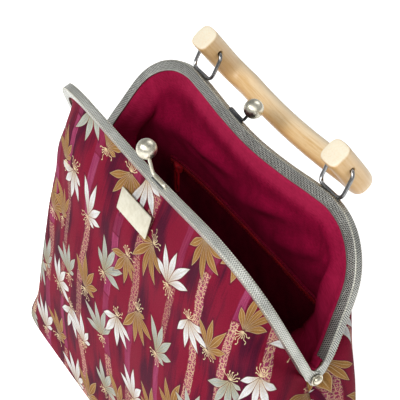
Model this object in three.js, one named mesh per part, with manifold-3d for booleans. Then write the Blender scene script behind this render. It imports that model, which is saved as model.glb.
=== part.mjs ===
// Clasp handbag: a printed cloth body on a hinged metal frame, shown open, with a wooden handle on two rings.
// Millimetres, +Z up. The origin is under the hinge line, on the surface that the bag stands on.
// The front of the bag faces -Y, and its width runs along X.
import * as THREE from 'three';
import { mergeVertices } from 'three/addons/utils/BufferGeometryUtils.js';
import Module from 'manifold-3d';

const wasm = await Module();
wasm.setup();

// Driving dimensions of the frame
const degree = Math.PI / 180;
const clearance = 0.3;
const hingeHalfWidth = 130;
const hingeHeight = 150;
const channelDepth = 7.2;
const channelWall = 0.9;
const channelBevel = 0.6;
const channelSteps = 36;
const channelStart = 11;
const lugTop = 16;
const lugRadius = 4.4;
const lugArc = 20;
const rivetHoleRadius = 1.6;
const rivetSides = 12;
const rivet = { dome: 3, height: 3, rim: 4.1, rimHeight: 0.9, tail: 2.6, tailHeight: 1 };

// Driving dimensions of the cloth
const panelThickness = 1.5;
const liningThickness = 1.2;
const clothInset = 3;
const lipRoll = { inset: 1.6, stand: 1 };
const puffPull = { inwards: 0.2, outwards: 0.2, up: 0.4 };
const clothColumns = 30;
const clothStart = 10;
const seamStart = 6;
const seamInset = 7;
const sideColumns = 4;
const frontShare = 1 - 2 * sideColumns / clothColumns;
const archShare = 0.6;
const puffRows = 3;
const baseThickness = 2;
const straightness = 0.02;
const rimPuff = 1.6;

// Driving dimensions of the handle and its rings
const ringCentre = 69;
const ringHalfSpan = 10.4;
const ringCorner = 5;
const wireRadius = 1.2;
const wireSides = 6;
const ringSteps = 32;
const ringFoot = { v: 85, n: 3.4 };
const pivot = { y: 55.2, z: 237 };
const handleDrop = 55 * degree;
const handleTip = 12;
const handleReach = 29;
const handleBow = 2.4;
const handleWaist = 0.06;
const handleCorner = 17;
const handleHalf = { across: 8, through: 7.8 };
const handlePower = 2.6;
const handleSides = 12;
const handleSteps = 34;
const handleHoleRadius = 1.9;

// Driving dimensions of the small pieces
const ballRadius = 6.05;
const claspWireRadius = 0.9;
const claspSink = 2;
const claspRounding = [1.6, 3];
const claspWireSteps = 18;
const ballSides = 14;
const plate = { width: 34.5, height: 15, thickness: 0.8, middle: 193, stand: 0.9 };
const zip = { row: 5.27, first: 7, last: 23, halfWidth: 4, thickness: 0.8 };
const pull = { slider: [8, 3, 5], tab: [5, 1.2, 20], lift: 2.2, stand: 0.9 };

const channelWidth = 2 * channelWall + 3 * clearance + panelThickness + liningThickness;
const panelFace = channelWidth - channelWall - clearance;

// The two arms lean away from each other about the hinge line.
// The back arm's lugs lie inside the front arm's.
const arms = {
  front: { side: -1, lean: 22 * degree, lugInset: 0 },
  back: { side: 1, lean: 31.2 * degree, lugInset: channelWall + clearance },
};

// Right half of an arm's outer edge in the arm's own plane, from the hinge up over the shoulder to the dip
const archRows = [
  { u: 130, v: 0 },
  { u: 129.4, v: 14 },
  { u: 125.5, v: 32 },
  { u: 118.4, v: 57.4 },
  { u: 108.4, v: 71.1 },
  { u: 94.2, v: 80.5 },
  { u: 77.4, v: 84.5 },
  { u: 60, v: 83.5 },
  { u: 30, v: 80.2 },
  { u: 0, v: 78.6 },
];

// Level sections of the cloth body from the hinge line down to the floor.
// Front and back are the depths either side of the hinge line, power sets how square the section is,
// and pinch is how far the side seam is drawn in.
const bodyRows = [
  { z: 150, halfWidth: 132, front: 48.5, back: 46, power: 3.6, pinch: 10 },
  { z: 126, halfWidth: 134.5, front: 53, back: 47, power: 3.8, pinch: 6 },
  { z: 98, halfWidth: 136.5, front: 56, back: 47, power: 4.2, pinch: 3 },
  { z: 64, halfWidth: 138, front: 57.5, back: 50, power: 6, pinch: 1.2 },
  { z: 28, halfWidth: 140, front: 57, back: 54, power: 11, pinch: 0.3 },
  { z: 10, halfWidth: 146.5, front: 58, back: 57, power: 15, pinch: 0 },
  { z: baseThickness + clearance, halfWidth: 148, front: 57.5, back: 57, power: 18, pinch: 0 },
  { z: 0, halfWidth: 147, front: 56.5, back: 56, power: 18, pinch: 0 },
];
const pinchSpread = 20;

// Each clasp's wire runs along the arm's edge from its foot to its bend, then rises to the ball
const claspRows = [
  { arm: 'front', foot: 22, bend: 9.2, ball: { u: 2.4, v: 93.2, n: -3 } },
  { arm: 'back', foot: -30, bend: -15.7, ball: { u: -6.5, v: 93.2, n: -4 } },
];

// Turns a closed geometry into a solid with its faces pointing out
function toSolid(geometry) {
  const bare = geometry.clone();
  bare.deleteAttribute('normal');
  bare.deleteAttribute('uv');
  const merged = mergeVertices(bare, 1e-4);
  const vertProperties = new Float32Array(merged.attributes.position.array);
  const triVerts = new Uint32Array(merged.index.array);
  const corner = (i) => new THREE.Vector3().fromArray(vertProperties, 3 * triVerts[i]);
  let volume = 0;
  for (let i = 0; i < triVerts.length; i += 3) {
    volume += corner(i).dot(corner(i + 1).cross(corner(i + 2)));
  }
  if (volume < 0) {
    for (let i = 0; i < triVerts.length; i += 3) {
      [triVerts[i], triVerts[i + 1]] = [triVerts[i + 1], triVerts[i]];
    }
  }
  return new wasm.Manifold(new wasm.Mesh({ numProp: 3, vertProperties, triVerts }));
}

function toGeometry(solid) {
  const mesh = solid.getMesh();
  const geometry = new THREE.BufferGeometry();
  geometry.setAttribute('position', new THREE.BufferAttribute(new Float32Array(mesh.vertProperties), 3));
  geometry.setIndex(new THREE.BufferAttribute(new Uint32Array(mesh.triVerts), 1));
  geometry.computeVertexNormals();
  return geometry;
}

// Joins rings of points into a closed body, with the end rings filled from the flat section
function skin(rings, section) {
  const count = section.length;
  const index = [];
  for (let i = 0; i + 1 < rings.length; i += 1) {
    for (let j = 0; j < count; j += 1) {
      const a = i * count + j;
      const b = i * count + ((j + 1) % count);
      index.push(a, b, a + count, b, b + count, a + count);
    }
  }
  const last = (rings.length - 1) * count;
  const clockwise = THREE.ShapeUtils.isClockWise(section);
  for (const triangle of THREE.ShapeUtils.triangulateShape(section, [])) {
    const [a, b, c] = clockwise ? triangle.reverse() : triangle;
    index.push(a, c, b);
    index.push(last + a, last + b, last + c);
  }
  const geometry = new THREE.BufferGeometry().setFromPoints(rings.flat());
  geometry.setIndex(index);
  return geometry;
}

function ovalSection(halfA, halfB, sides, power) {
  const section = [];
  for (let i = 0; i < sides; i += 1) {
    const angle = (2 * Math.PI * (i + 0.5)) / sides;
    const reach = (Math.abs(Math.cos(angle)) ** power + Math.abs(Math.sin(angle)) ** power) ** (-1 / power);
    section.push(new THREE.Vector2(halfA * reach * Math.cos(angle), halfB * reach * Math.sin(angle)));
  }
  return section;
}

// Rings of a section along a path; the section's second axis stays along the given normal
function sweepRings(path, steps, section, planeNormal, girth = () => 1) {
  const rings = [];
  for (let i = 0; i <= steps; i += 1) {
    const share = i / steps;
    const point = path.getPointAt(share);
    const side = new THREE.Vector3().crossVectors(planeNormal, path.getTangentAt(share)).normalize();
    rings.push(section.map((s) => point.clone()
      .addScaledVector(side, s.x * girth(share))
      .addScaledVector(planeNormal, s.y * girth(share))));
  }
  return rings;
}

// A closed loop of a section, with no ends to fill
function loopGeometry(rings) {
  const count = rings[0].length;
  const steps = rings.length - 1;
  const index = [];
  for (let i = 0; i < steps; i += 1) {
    const next = (i + 1) % steps;
    for (let j = 0; j < count; j += 1) {
      const k = (j + 1) % count;
      index.push(i * count + j, i * count + k, next * count + j);
      index.push(i * count + k, next * count + k, next * count + j);
    }
  }
  const geometry = new THREE.BufferGeometry().setFromPoints(rings.slice(0, steps).flat());
  geometry.setIndex(index);
  return geometry;
}

function barAlongX(radius, sides, length, x, y, z) {
  return new THREE.CylinderGeometry(radius, radius, length, sides).rotateZ(Math.PI / 2).translate(x, y, z);
}

// Places a point given in an arm's plane: u along X, v up the arm, n outwards from the mouth
function armPoint(arm, u, v, n) {
  const y = arm.side * (v * Math.sin(arm.lean) + n * Math.cos(arm.lean));
  return new THREE.Vector3(u, y, hingeHeight + v * Math.cos(arm.lean) - n * Math.sin(arm.lean));
}

function armNormal(arm) {
  return new THREE.Vector3(0, arm.side * Math.cos(arm.lean), -Math.sin(arm.lean));
}

// An arm's outer edge from the left hinge to the right hinge; the lug inset fades out at the shoulder
function armEdge(arm) {
  const shoulder = archRows[3].v;
  const right = archRows.map(({ u, v }) => {
    const inset = u > archRows[3].u ? arm.lugInset * (1 - v / shoulder) : 0;
    return new THREE.Vector3(u - inset, v, 0);
  });
  const left = right.slice(0, -1).map((p) => new THREE.Vector3(-p.x, p.y, 0));
  return new THREE.CatmullRomCurve3([...left, ...right.reverse()], false, 'centripetal');
}

// A point on the edge at a share of its length, moved inwards by the inset
function edgePoint(edge, share, inset) {
  const point = edge.getPointAt(share);
  const tangent = edge.getTangentAt(share);
  return new THREE.Vector2(point.x + inset * tangent.y, point.y - inset * tangent.x);
}

// U-channel section as inset from the edge and distance from the mouth side
const channelSection = [
  [0, channelBevel],
  [0, channelWidth - channelBevel],
  [channelBevel, channelWidth],
  [channelDepth, channelWidth],
  [channelDepth, channelWidth - channelWall],
  [channelWall, channelWidth - channelWall],
  [channelWall, channelWall],
  [channelDepth, channelWall],
  [channelDepth, 0],
  [channelBevel, 0],
].map(([inset, n]) => new THREE.Vector2(inset, n));

function channelSolid(arm) {
  const edge = armEdge(arm);
  const start = channelStart / edge.getLength();
  const rings = [];
  for (let i = 0; i <= channelSteps; i += 1) {
    const share = start + (1 - 2 * start) * (i / channelSteps);
    rings.push(channelSection.map(({ x: inset, y: n }) => {
      const p = edgePoint(edge, share, inset);
      return armPoint(arm, p.x, p.y, n);
    }));
  }
  return toSolid(skin(rings, channelSection));
}

// A flat lug that carries the strip of the channel down to a round eye on the hinge line
function lugSolid(arm, sign) {
  const shape = new THREE.Shape();
  shape.moveTo(0, lugTop);
  shape.lineTo(channelWidth, lugTop);
  shape.lineTo(channelWidth, lugRadius);
  shape.absarc(0, 0, lugRadius, lugArc * degree, -(180 + lugArc) * degree, true);
  shape.lineTo(0, 2 * lugRadius);
  const geometry = new THREE.ExtrudeGeometry(shape, {
    depth: channelWall,
    bevelEnabled: false,
    curveSegments: 10,
  });
  const normal = armNormal(arm);
  const rise = new THREE.Vector3(0, arm.side * Math.sin(arm.lean), Math.cos(arm.lean));
  const outwards = new THREE.Vector3(sign, 0, 0);
  const place = new THREE.Matrix4().makeBasis(normal, rise, outwards);
  place.setPosition(sign * (hingeHalfWidth - arm.lugInset - channelWall), 0, hingeHeight);
  const hole = barAlongX(rivetHoleRadius, rivetSides, 2 * lugRadius, sign * hingeHalfWidth, 0, hingeHeight);
  return toSolid(geometry.applyMatrix4(place)).subtract(toSolid(hole));
}

// A ring stands on the back arm's edge, and its upper bar is the handle's pivot
function ringSolid(sign) {
  const foot = armPoint(arms.back, 0, ringFoot.v, ringFoot.n);
  const rise = new THREE.Vector3(0, pivot.y - foot.y, pivot.z - foot.z);
  const height = rise.length();
  rise.normalize();
  const path = new THREE.CurvePath();
  const at = (x, h) => foot.clone().addScaledVector(rise, h).setX(sign * ringCentre + x);
  const corners = [
    [-ringHalfSpan, 0],
    [ringHalfSpan, 0],
    [ringHalfSpan, height],
    [-ringHalfSpan, height],
  ];
  corners.forEach(([x, h], i) => {
    const [nextX, nextH] = corners[(i + 1) % 4];
    const [afterX, afterH] = corners[(i + 2) % 4];
    const along = [Math.sign(nextX - x), Math.sign(nextH - h)];
    const turn = [Math.sign(afterX - nextX), Math.sign(afterH - nextH)];
    const begin = at(x + along[0] * ringCorner, h + along[1] * ringCorner);
    const end = at(nextX - along[0] * ringCorner, nextH - along[1] * ringCorner);
    path.add(new THREE.LineCurve3(begin, end));
    const leave = at(nextX + turn[0] * ringCorner, nextH + turn[1] * ringCorner);
    path.add(new THREE.QuadraticBezierCurve3(end, at(nextX, nextH), leave));
  });
  const planeNormal = new THREE.Vector3(1, 0, 0).cross(rise).normalize();
  const section = ovalSection(wireRadius, wireRadius, wireSides, 2);
  return toSolid(loopGeometry(sweepRings(path, ringSteps, section, planeNormal)));
}

function claspHole(arm, u, edge) {
  const top = edgeAt(edge, u);
  const from = armPoint(arm, u, top - claspSink, channelWidth / 2);
  const radius = claspWireRadius + clearance;
  const geometry = new THREE.CylinderGeometry(radius, radius, channelDepth, 8);
  geometry.rotateX(Math.PI / 2 - arm.side * arm.lean);
  return toSolid(geometry.translate(from.x, from.y, from.z));
}

// Height of an arm's edge above the hinge line at a place across the top
function edgeAt(edge, u) {
  let low = 0.25;
  let high = 0.75;
  for (let i = 0; i < 30; i += 1) {
    const middle = (low + high) / 2;
    if (edge.getPointAt(middle).x < u) {
      low = middle;
    } else {
      high = middle;
    }
  }
  return edge.getPointAt(low).y;
}

function frameGeometry(name) {
  const arm = arms[name];
  let solid = channelSolid(arm);
  for (const sign of [-1, 1]) {
    solid = solid.add(lugSolid(arm, sign));
    if (name === 'back') {
      solid = solid.add(ringSolid(sign));
    }
  }
  const clasp = claspRows.find((row) => row.arm === name);
  return toGeometry(solid.subtract(claspHole(arm, clasp.foot, armEdge(arm))));
}

function rivetGeometry(sign) {
  const shank = rivetHoleRadius - clearance;
  const behind = -2 * (channelWall + clearance);
  const dome = [90, 60, 30].map((angle) => [
    rivet.dome * Math.cos(angle * degree),
    rivet.rimHeight + (rivet.height - rivet.rimHeight) * Math.sin(angle * degree),
  ]);
  dome[0][0] = 0;
  const profile = [
    ...dome,
    [rivet.dome, rivet.rimHeight],
    [rivet.rim, rivet.rimHeight],
    [rivet.rim, clearance],
    [shank, clearance],
    [shank, behind],
    [rivet.tail, behind],
    [rivet.tail, behind - rivet.tailHeight],
    [0, behind - rivet.tailHeight],
  ].map(([radius, height]) => new THREE.Vector2(radius, height));
  const geometry = new THREE.LatheGeometry(profile, rivetSides);
  geometry.rotateZ(-sign * Math.PI / 2).translate(sign * hingeHalfWidth, 0, hingeHeight);
  return toGeometry(toSolid(geometry));
}

function claspGeometry({ arm: name, foot, bend, ball }) {
  const arm = arms[name];
  const edge = armEdge(arm);
  const lift = claspWireRadius + clearance;
  const middle = channelWidth / 2;
  const path = new THREE.CurvePath();
  const points = [
    armPoint(arm, foot, edgeAt(edge, foot) - claspSink, middle),
    armPoint(arm, foot, edgeAt(edge, foot) + lift, middle),
    armPoint(arm, bend, edgeAt(edge, bend) + lift, middle),
    armPoint(arm, ball.u, ball.v, ball.n),
  ];
  let from = points[0];
  for (let i = 1; i <= 2; i += 1) {
    const toward = (next) => points[i].clone().lerp(next, claspRounding[i - 1] / points[i].distanceTo(next));
    const before = toward(points[i - 1]);
    const after = toward(points[i + 1]);
    path.add(new THREE.LineCurve3(from, before));
    path.add(new THREE.QuadraticBezierCurve3(before, points[i], after));
    from = after;
  }
  path.add(new THREE.LineCurve3(from, points[3]));
  const outline = new THREE.Shape();
  outline.absarc(0, 0, claspWireRadius, 0, 2 * Math.PI);
  const wire = new THREE.ExtrudeGeometry(outline, {
    extrudePath: path,
    steps: claspWireSteps,
    curveSegments: 3,
  });
  const sphere = new THREE.SphereGeometry(ballRadius, ballSides, ballSides / 2);
  sphere.translate(points[3].x, points[3].y, points[3].z);
  return toGeometry(toSolid(wire).add(toSolid(sphere)));
}

function handleGeometry() {
  const drop = new THREE.Vector3(0, Math.cos(handleDrop), -Math.sin(handleDrop));
  const at = (x, along) => new THREE.Vector3(x, pivot.y, pivot.z).addScaledVector(drop, along);
  const flat = ringCentre - handleCorner;
  const planeNormal = new THREE.Vector3(0, Math.sin(handleDrop), Math.cos(handleDrop));
  const girth = (share) => 1 - handleWaist * Math.sin(Math.PI * share) ** 2;
  const path = new THREE.CurvePath();
  path.add(new THREE.LineCurve3(at(-ringCentre, -handleTip), at(-ringCentre, handleReach - handleCorner)));
  path.add(new THREE.QuadraticBezierCurve3(
    at(-ringCentre, handleReach - handleCorner),
    at(-ringCentre, handleReach),
    at(-flat, handleReach),
  ));
  path.add(new THREE.QuadraticBezierCurve3(
    at(-flat, handleReach),
    at(0, handleReach).addScaledVector(planeNormal, -2 * handleBow),
    at(flat, handleReach),
  ));
  path.add(new THREE.QuadraticBezierCurve3(
    at(flat, handleReach),
    at(ringCentre, handleReach),
    at(ringCentre, handleReach - handleCorner),
  ));
  path.add(new THREE.LineCurve3(at(ringCentre, handleReach - handleCorner), at(ringCentre, -handleTip)));
  const section = ovalSection(handleHalf.across, handleHalf.through, handleSides, handlePower);
  let solid = toSolid(skin(sweepRings(path, handleSteps, section, planeNormal, girth), section));
  for (const sign of [-1, 1]) {
    const hole = barAlongX(handleHoleRadius, 10, 4 * handleHalf.across, sign * ringCentre, pivot.y, pivot.z);
    solid = solid.subtract(toSolid(hole));
  }
  return toGeometry(solid);
}

// Where a column of the body's half section points: the front is flat in x, the sides are flat in y
function columnAngle(a) {
  const reach = Math.abs(a);
  const angle = reach < frontShare
    ? Math.atan2(reach / frontShare, 1)
    : Math.atan2(1, (1 - reach) / (1 - frontShare));
  return Math.sign(a) * angle;
}

function bodyPoint(row, name, a) {
  const sine = Math.sin(columnAngle(a));
  const cosine = Math.cos(columnAngle(a));
  const reach = (Math.abs(sine) ** row.power + Math.abs(cosine) ** row.power) ** (-1 / row.power);
  const y = row[name] * reach * cosine;
  const atSide = Math.abs(a) > frontShare / 2;
  const pinch = atSide ? Math.sign(a) * row.pinch * Math.exp(-((y / pinchSpread) ** 2)) : 0;
  return new THREE.Vector3(row.halfWidth * reach * sine - pinch, arms[name].side * y, row.z);
}

// Share of the arm's edge that a column starts from. The seam columns start below the channel's end.
function columnShare(edge, a) {
  const reach = Math.abs(a);
  const last = 1 - 2 / clothColumns;
  const length = edge.getLength();
  const sideEnd = 1 - 2 * clothStart / length;
  const alongSide = (reach - frontShare) / (last - frontShare);
  const sideShare = archShare + (sideEnd - archShare) * alongSide;
  const half = reach < frontShare ? archShare * (reach / frontShare) : sideShare;
  const seam = 1 - 2 * seamStart / length;
  return 0.5 + 0.5 * Math.sign(a) * (reach > last ? seam : half);
}

// Cloth grid of one side of the bag: rows from inside the channel, out over its lip, down to the floor.
// Every point has the outward direction that the cloth's layers are stacked along.
function clothGrid(name) {
  const arm = arms[name];
  const edge = armEdge(arm);
  const normal = armNormal(arm);
  const seam = arm.side * clearance / 2;
  const columns = [];
  for (let j = 0; j <= clothColumns; j += 1) {
    const a = -1 + (2 * j) / clothColumns;
    const share = columnShare(edge, a);
    const atSeam = j === 0 || j === clothColumns;
    const tuck = atSeam ? seamInset : clothInset;
    const lip = (inset, n) => {
      const p = edgePoint(edge, share, inset);
      return armPoint(arm, p.x, p.y, n);
    };
    const points = [
      lip(tuck, panelFace),
      lip(channelDepth + clearance, panelFace),
      lip(channelDepth + lipRoll.inset, panelFace + lipRoll.stand),
    ];
    const inwards = lip(1, 0).sub(lip(0, 0));
    const start = points[2];
    const end = bodyPoint(bodyRows[0], name, a);
    const reach = start.distanceTo(end);
    const puff = new THREE.CubicBezierCurve3(
      start,
      start.clone()
        .addScaledVector(inwards, puffPull.inwards * reach)
        .addScaledVector(normal, puffPull.outwards * reach),
      end.clone().setZ(end.z + puffPull.up * reach),
      end,
    );
    for (let i = 1; i < puffRows; i += 1) {
      points.push(puff.getPoint(i / puffRows));
    }
    points.push(...bodyRows.map((row) => bodyPoint(row, name, a)));
    if (atSeam) {
      points.forEach((p) => p.setY(seam));
    }
    columns.push(points);
  }
  const rows = columns[0].length;
  const directions = columns.map((points, j) => points.map((p, i) => {
    if (i < 2) {
      return normal.clone();
    }
    const across = columns[Math.min(j + 1, clothColumns)][i].clone().sub(columns[Math.max(j - 1, 0)][i]);
    const down = points[Math.min(i + 1, rows - 1)].clone().sub(points[i - 1]);
    const out = across.cross(down).multiplyScalar(arm.side);
    if (i >= rows - 2) {
      out.setZ(0);
    }
    if (j === 0 || j === clothColumns) {
      out.setY(0);
    }
    return out.normalize();
  }));
  return { columns, directions, rows, seam };
}

// A wall of cloth between two depths below the grid, over a range of rows
function clothWall(grid, rowEnd, outer, inner) {
  const layers = [outer, inner].map((depth) => grid.columns.map((points, j) => points.slice(0, rowEnd).map(
    (p, i) => {
      const moved = p.clone().addScaledVector(grid.directions[j][i], -depth(i));
      const atSeam = j === 0 || j === clothColumns;
      return atSeam ? moved.setY(grid.seam) : moved;
    },
  )));
  const width = grid.columns.length;
  const index = [];
  const id = (layer, j, i) => (layer * width + j) * rowEnd + i;
  const quad = (a, b, c, d) => index.push(a, b, c, a, c, d);
  for (let j = 0; j + 1 < width; j += 1) {
    for (let i = 0; i + 1 < rowEnd; i += 1) {
      quad(id(0, j, i), id(0, j, i + 1), id(0, j + 1, i + 1), id(0, j + 1, i));
      quad(id(1, j, i), id(1, j + 1, i), id(1, j + 1, i + 1), id(1, j, i + 1));
    }
    quad(id(0, j, 0), id(0, j + 1, 0), id(1, j + 1, 0), id(1, j, 0));
    const end = rowEnd - 1;
    quad(id(0, j, end), id(1, j, end), id(1, j + 1, end), id(0, j + 1, end));
  }
  for (let i = 0; i + 1 < rowEnd; i += 1) {
    quad(id(0, 0, i), id(1, 0, i), id(1, 0, i + 1), id(0, 0, i + 1));
    const last = width - 1;
    quad(id(0, last, i), id(0, last, i + 1), id(1, last, i + 1), id(1, last, i));
  }
  const geometry = new THREE.BufferGeometry().setFromPoints(layers.flat(2));
  geometry.setIndex(index);
  return { geometry: toGeometry(toSolid(geometry)), layers };
}

// Leaves out the points that lie on a straight run of a closed outline
function cornersOnly(points) {
  return points.filter((p, i) => {
    const before = points.at(i - 1);
    const after = points[(i + 1) % points.length];
    const turn = p.clone().sub(before).cross(after.clone().sub(p));
    return Math.abs(turn) > straightness * before.distanceTo(after);
  });
}

// A flat plate that fills the body's floor inside the given layers of the two sides
function floorGeometry(front, back, { rowFromEnd, margin, low, thickness }) {
  const outline = (wall, grid) => wall.layers[1].map((points, j) => {
    const i = grid.rows - rowFromEnd;
    return points[i].clone().addScaledVector(grid.directions[j][i], -margin);
  });
  const frontEdge = outline(front.wall, front.grid).slice(1, -1);
  const backEdge = outline(back.wall, back.grid).slice(1, -1).reverse();
  const loop = [...frontEdge, ...backEdge].map((p) => new THREE.Vector2(p.x, p.y));
  const shape = new THREE.Shape(cornersOnly(loop));
  const geometry = new THREE.ExtrudeGeometry(shape, { depth: thickness, bevelEnabled: false });
  return toGeometry(toSolid(geometry.translate(0, 0, low)));
}

// The plate lies on the front panel under the clasp, leaning as the cloth does there
function plateGeometry(grid) {
  const middle = grid.columns[clothColumns / 2];
  const below = middle.findIndex((p) => p.z < plate.middle);
  const lower = middle[below];
  const upper = middle[below - 1];
  const lean = Math.atan2(upper.y - lower.y, upper.z - lower.z);
  const share = (plate.middle - lower.z) / (upper.z - lower.z);
  const seat = lower.clone().lerp(upper, share);
  const geometry = new THREE.BoxGeometry(plate.width, plate.thickness, plate.height);
  geometry.translate(0, -plate.thickness / 2 - plate.stand, 0).rotateX(-lean);
  return geometry.translate(seat.x, seat.y, seat.z);
}

// A strip lying on the back lining, from column to column, at a height between two rows
function zipStrip(grid, lining) {
  const face = (j, row, depth) => {
    const i = Math.floor(row);
    const inner = lining.layers[1][j];
    const p = inner[i].clone().lerp(inner[i + 1], row - i);
    const out = grid.directions[j][i].clone().lerp(grid.directions[j][i + 1], row - i).normalize();
    return p.addScaledVector(out, -depth);
  };
  const rings = [];
  for (let j = zip.first; j <= zip.last; j += 1) {
    const inner = lining.layers[1][j];
    const i = Math.floor(zip.row);
    const spread = zip.halfWidth / inner[i].distanceTo(inner[i + 1]);
    rings.push([
      face(j, zip.row - spread, clearance),
      face(j, zip.row + spread, clearance),
      face(j, zip.row + spread, clearance + zip.thickness),
      face(j, zip.row - spread, clearance + zip.thickness),
    ]);
  }
  const section = [[0, 0], [1, 0], [1, 1], [0, 1]].map(([x, y]) => new THREE.Vector2(x, y));
  return { geometry: toGeometry(toSolid(skin(rings, section))), rings };
}

// Slider and pull at the strip's left end, one metal piece turned to lie along the strip
function pullGeometry(rings) {
  const [, , lower, upper] = rings[1];
  const seat = lower.clone().lerp(upper, 0.5);
  const along = rings[2][2].clone().sub(rings[0][2]);
  const [width, depth, height] = pull.slider;
  const slider = new THREE.BoxGeometry(width, depth, height);
  const [tabWidth, tabDepth, tabLength] = pull.tab;
  const tab = new THREE.BoxGeometry(tabWidth, tabDepth, tabLength);
  tab.translate(0, -pull.lift / 2, -tabLength / 2);
  const geometry = toGeometry(toSolid(slider).add(toSolid(tab)));
  geometry.translate(0, -pull.stand - depth / 2, 0).rotateZ(Math.atan2(along.y, along.x));
  return geometry.translate(seat.x, seat.y, seat.z);
}

const bag = new THREE.Group();

const printedCloth = { color: '#96193a', roughness: 0.85, metalness: 0 };
const liningCloth = { color: '#8c1030', roughness: 0.9, metalness: 0 };
const pewter = { color: '#8f8c7c', roughness: 0.4, metalness: 1 };
const paleGold = { color: '#d8caa0', roughness: 0.3, metalness: 1 };
const pullPaint = { color: '#5c0c1e', roughness: 0.35, metalness: 0.2 };
const beech = { color: '#e3bd84', roughness: 0.5, metalness: 0 };

function addPiece(name, geometry, finish) {
  const mesh = new THREE.Mesh(geometry, new THREE.MeshStandardMaterial(finish));
  mesh.name = name;
  bag.add(mesh);
}

// The lining stands further in along the rim, where it is padded out behind the frame
function liningDepth(row) {
  const atRim = row > 2 && row < 2 + puffRows;
  return panelThickness + clearance + (atRim ? rimPuff : 0);
}

const walls = {};
for (const name of ['front', 'back']) {
  const grid = clothGrid(name);
  const panel = clothWall(grid, grid.rows, () => 0, () => panelThickness);
  const lining = clothWall(grid, grid.rows - 1, liningDepth, (row) => liningDepth(row) + liningThickness);
  walls[name] = { panel: { wall: panel, grid }, lining: { wall: lining, grid } };
  addPiece(`${name}_panel`, panel.geometry, printedCloth);
  addPiece(`${name}_lining`, lining.geometry, liningCloth);
  addPiece(`frame_${name}`, frameGeometry(name), pewter);
}
const { front, back } = walls;
const baseFloor = { rowFromEnd: 1, margin: clearance, low: 0, thickness: baseThickness };
const liningFloor = {
  rowFromEnd: 2,
  margin: 3 * clearance,
  low: baseThickness + clearance,
  thickness: liningThickness,
};
addPiece('base_panel', floorGeometry(front.panel, back.panel, baseFloor), printedCloth);
addPiece('base_lining', floorGeometry(front.lining, back.lining, liningFloor), liningCloth);
addPiece('hinge_rivet_left', rivetGeometry(-1), paleGold);
addPiece('hinge_rivet_right', rivetGeometry(1), paleGold);
for (const row of claspRows) {
  addPiece(`clasp_${row.arm}`, claspGeometry(row), paleGold);
}
addPiece('handle', handleGeometry(), beech);
addPiece('label_plate', plateGeometry(front.panel.grid), paleGold);
const strip = zipStrip(back.lining.grid, back.lining.wall);
addPiece('zip_tape', strip.geometry, liningCloth);
addPiece('zip_pull', pullGeometry(strip.rings), pullPaint);

export default bag;
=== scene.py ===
from functools import partial
import bpy
import bmesh
import numpy as np
from mathutils import Matrix, Vector


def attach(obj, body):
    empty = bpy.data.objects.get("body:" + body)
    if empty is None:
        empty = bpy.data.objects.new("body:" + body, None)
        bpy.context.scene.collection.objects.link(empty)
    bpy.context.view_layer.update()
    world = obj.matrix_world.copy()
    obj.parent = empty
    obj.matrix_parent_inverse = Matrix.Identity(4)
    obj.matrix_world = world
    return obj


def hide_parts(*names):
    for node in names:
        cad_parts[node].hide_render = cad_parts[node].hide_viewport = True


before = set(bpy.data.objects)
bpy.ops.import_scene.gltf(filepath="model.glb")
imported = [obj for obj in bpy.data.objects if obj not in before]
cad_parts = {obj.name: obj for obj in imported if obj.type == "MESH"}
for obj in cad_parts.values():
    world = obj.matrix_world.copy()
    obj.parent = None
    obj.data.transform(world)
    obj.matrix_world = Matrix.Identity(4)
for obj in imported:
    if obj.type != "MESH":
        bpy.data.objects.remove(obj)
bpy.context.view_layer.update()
mm = 0.001  # shapes are worked out in millimetres and scaled when the mesh is made
print("frame loaded", len(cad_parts), "nodes")


# meshes

def placeObject(name, data):
    made = bpy.data.objects.new(name, data)
    bpy.context.scene.collection.objects.link(made)
    return made


def shadeSmooth(work, sharp=None):  # edges that turn by more than sharp degrees stay crisp
    for face in work.faces:
        face.smooth = True
    if sharp is not None:
        for edge in work.edges:
            edge.smooth = bool(edge.calc_face_angle(0) < np.radians(sharp))


def makePiece(name, points, faces, material, plan=None, sharp=None, layers=None):
    mesh = bpy.data.meshes.new(name)
    mesh.from_pydata((np.asarray(points, float) * mm).tolist(), [], [list(map(int, f)) for f in faces])
    corners = np.empty(len(mesh.loops), int)
    mesh.loops.foreach_get("vertex_index", corners)
    if plan is not None:
        layer = mesh.uv_layers.new(name="plan")
        layer.data.foreach_set("uv", np.asarray(plan, np.float32)[corners].ravel())
    for label, values in (layers or {}).items():
        data = mesh.attributes.new(label, "FLOAT", "POINT")
        data.data.foreach_set("value", np.asarray(values, np.float32))
    work = bmesh.new()
    work.from_mesh(mesh)
    if work.calc_volume(signed=True) < 0:
        bmesh.ops.reverse_faces(work, faces=work.faces)
    shadeSmooth(work, sharp)
    work.to_mesh(mesh)
    work.free()
    mesh.materials.append(material)
    return placeObject(name, mesh)


def finishPiece(piece, body, slot, *nodes):
    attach(piece, body)
    if nodes:
        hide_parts(*nodes)


def bakedMesh(piece):  # the mesh that the piece's modifiers make
    bpy.context.view_layer.update()
    graph = bpy.context.evaluated_depsgraph_get()
    return bpy.data.meshes.new_from_object(piece.evaluated_get(graph))


def gridFaces(rows, columns, start=0, closed=False):
    row = np.arange(rows - 1)[:, None] * columns
    here = np.arange(columns if closed else columns - 1)[None]
    a = start + row + here
    b = start + row + (here + 1) % columns
    return np.stack([a, b, b + columns, a + columns], -1).reshape(-1, 4)


def shellFaces(rows, columns):  # two layers of the same grid, closed round their edge
    count = rows * columns
    ids = np.arange(count).reshape(rows, columns)
    rim = np.concatenate([ids[0], ids[1:, -1], ids[-1, -2::-1], ids[-2:0:-1, 0]])
    ahead = np.roll(rim, -1)
    edge = np.stack([ahead, rim, rim + count, ahead + count], -1)
    return np.concatenate([gridFaces(rows, columns), gridFaces(rows, columns, count)[:, ::-1], edge])


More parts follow.
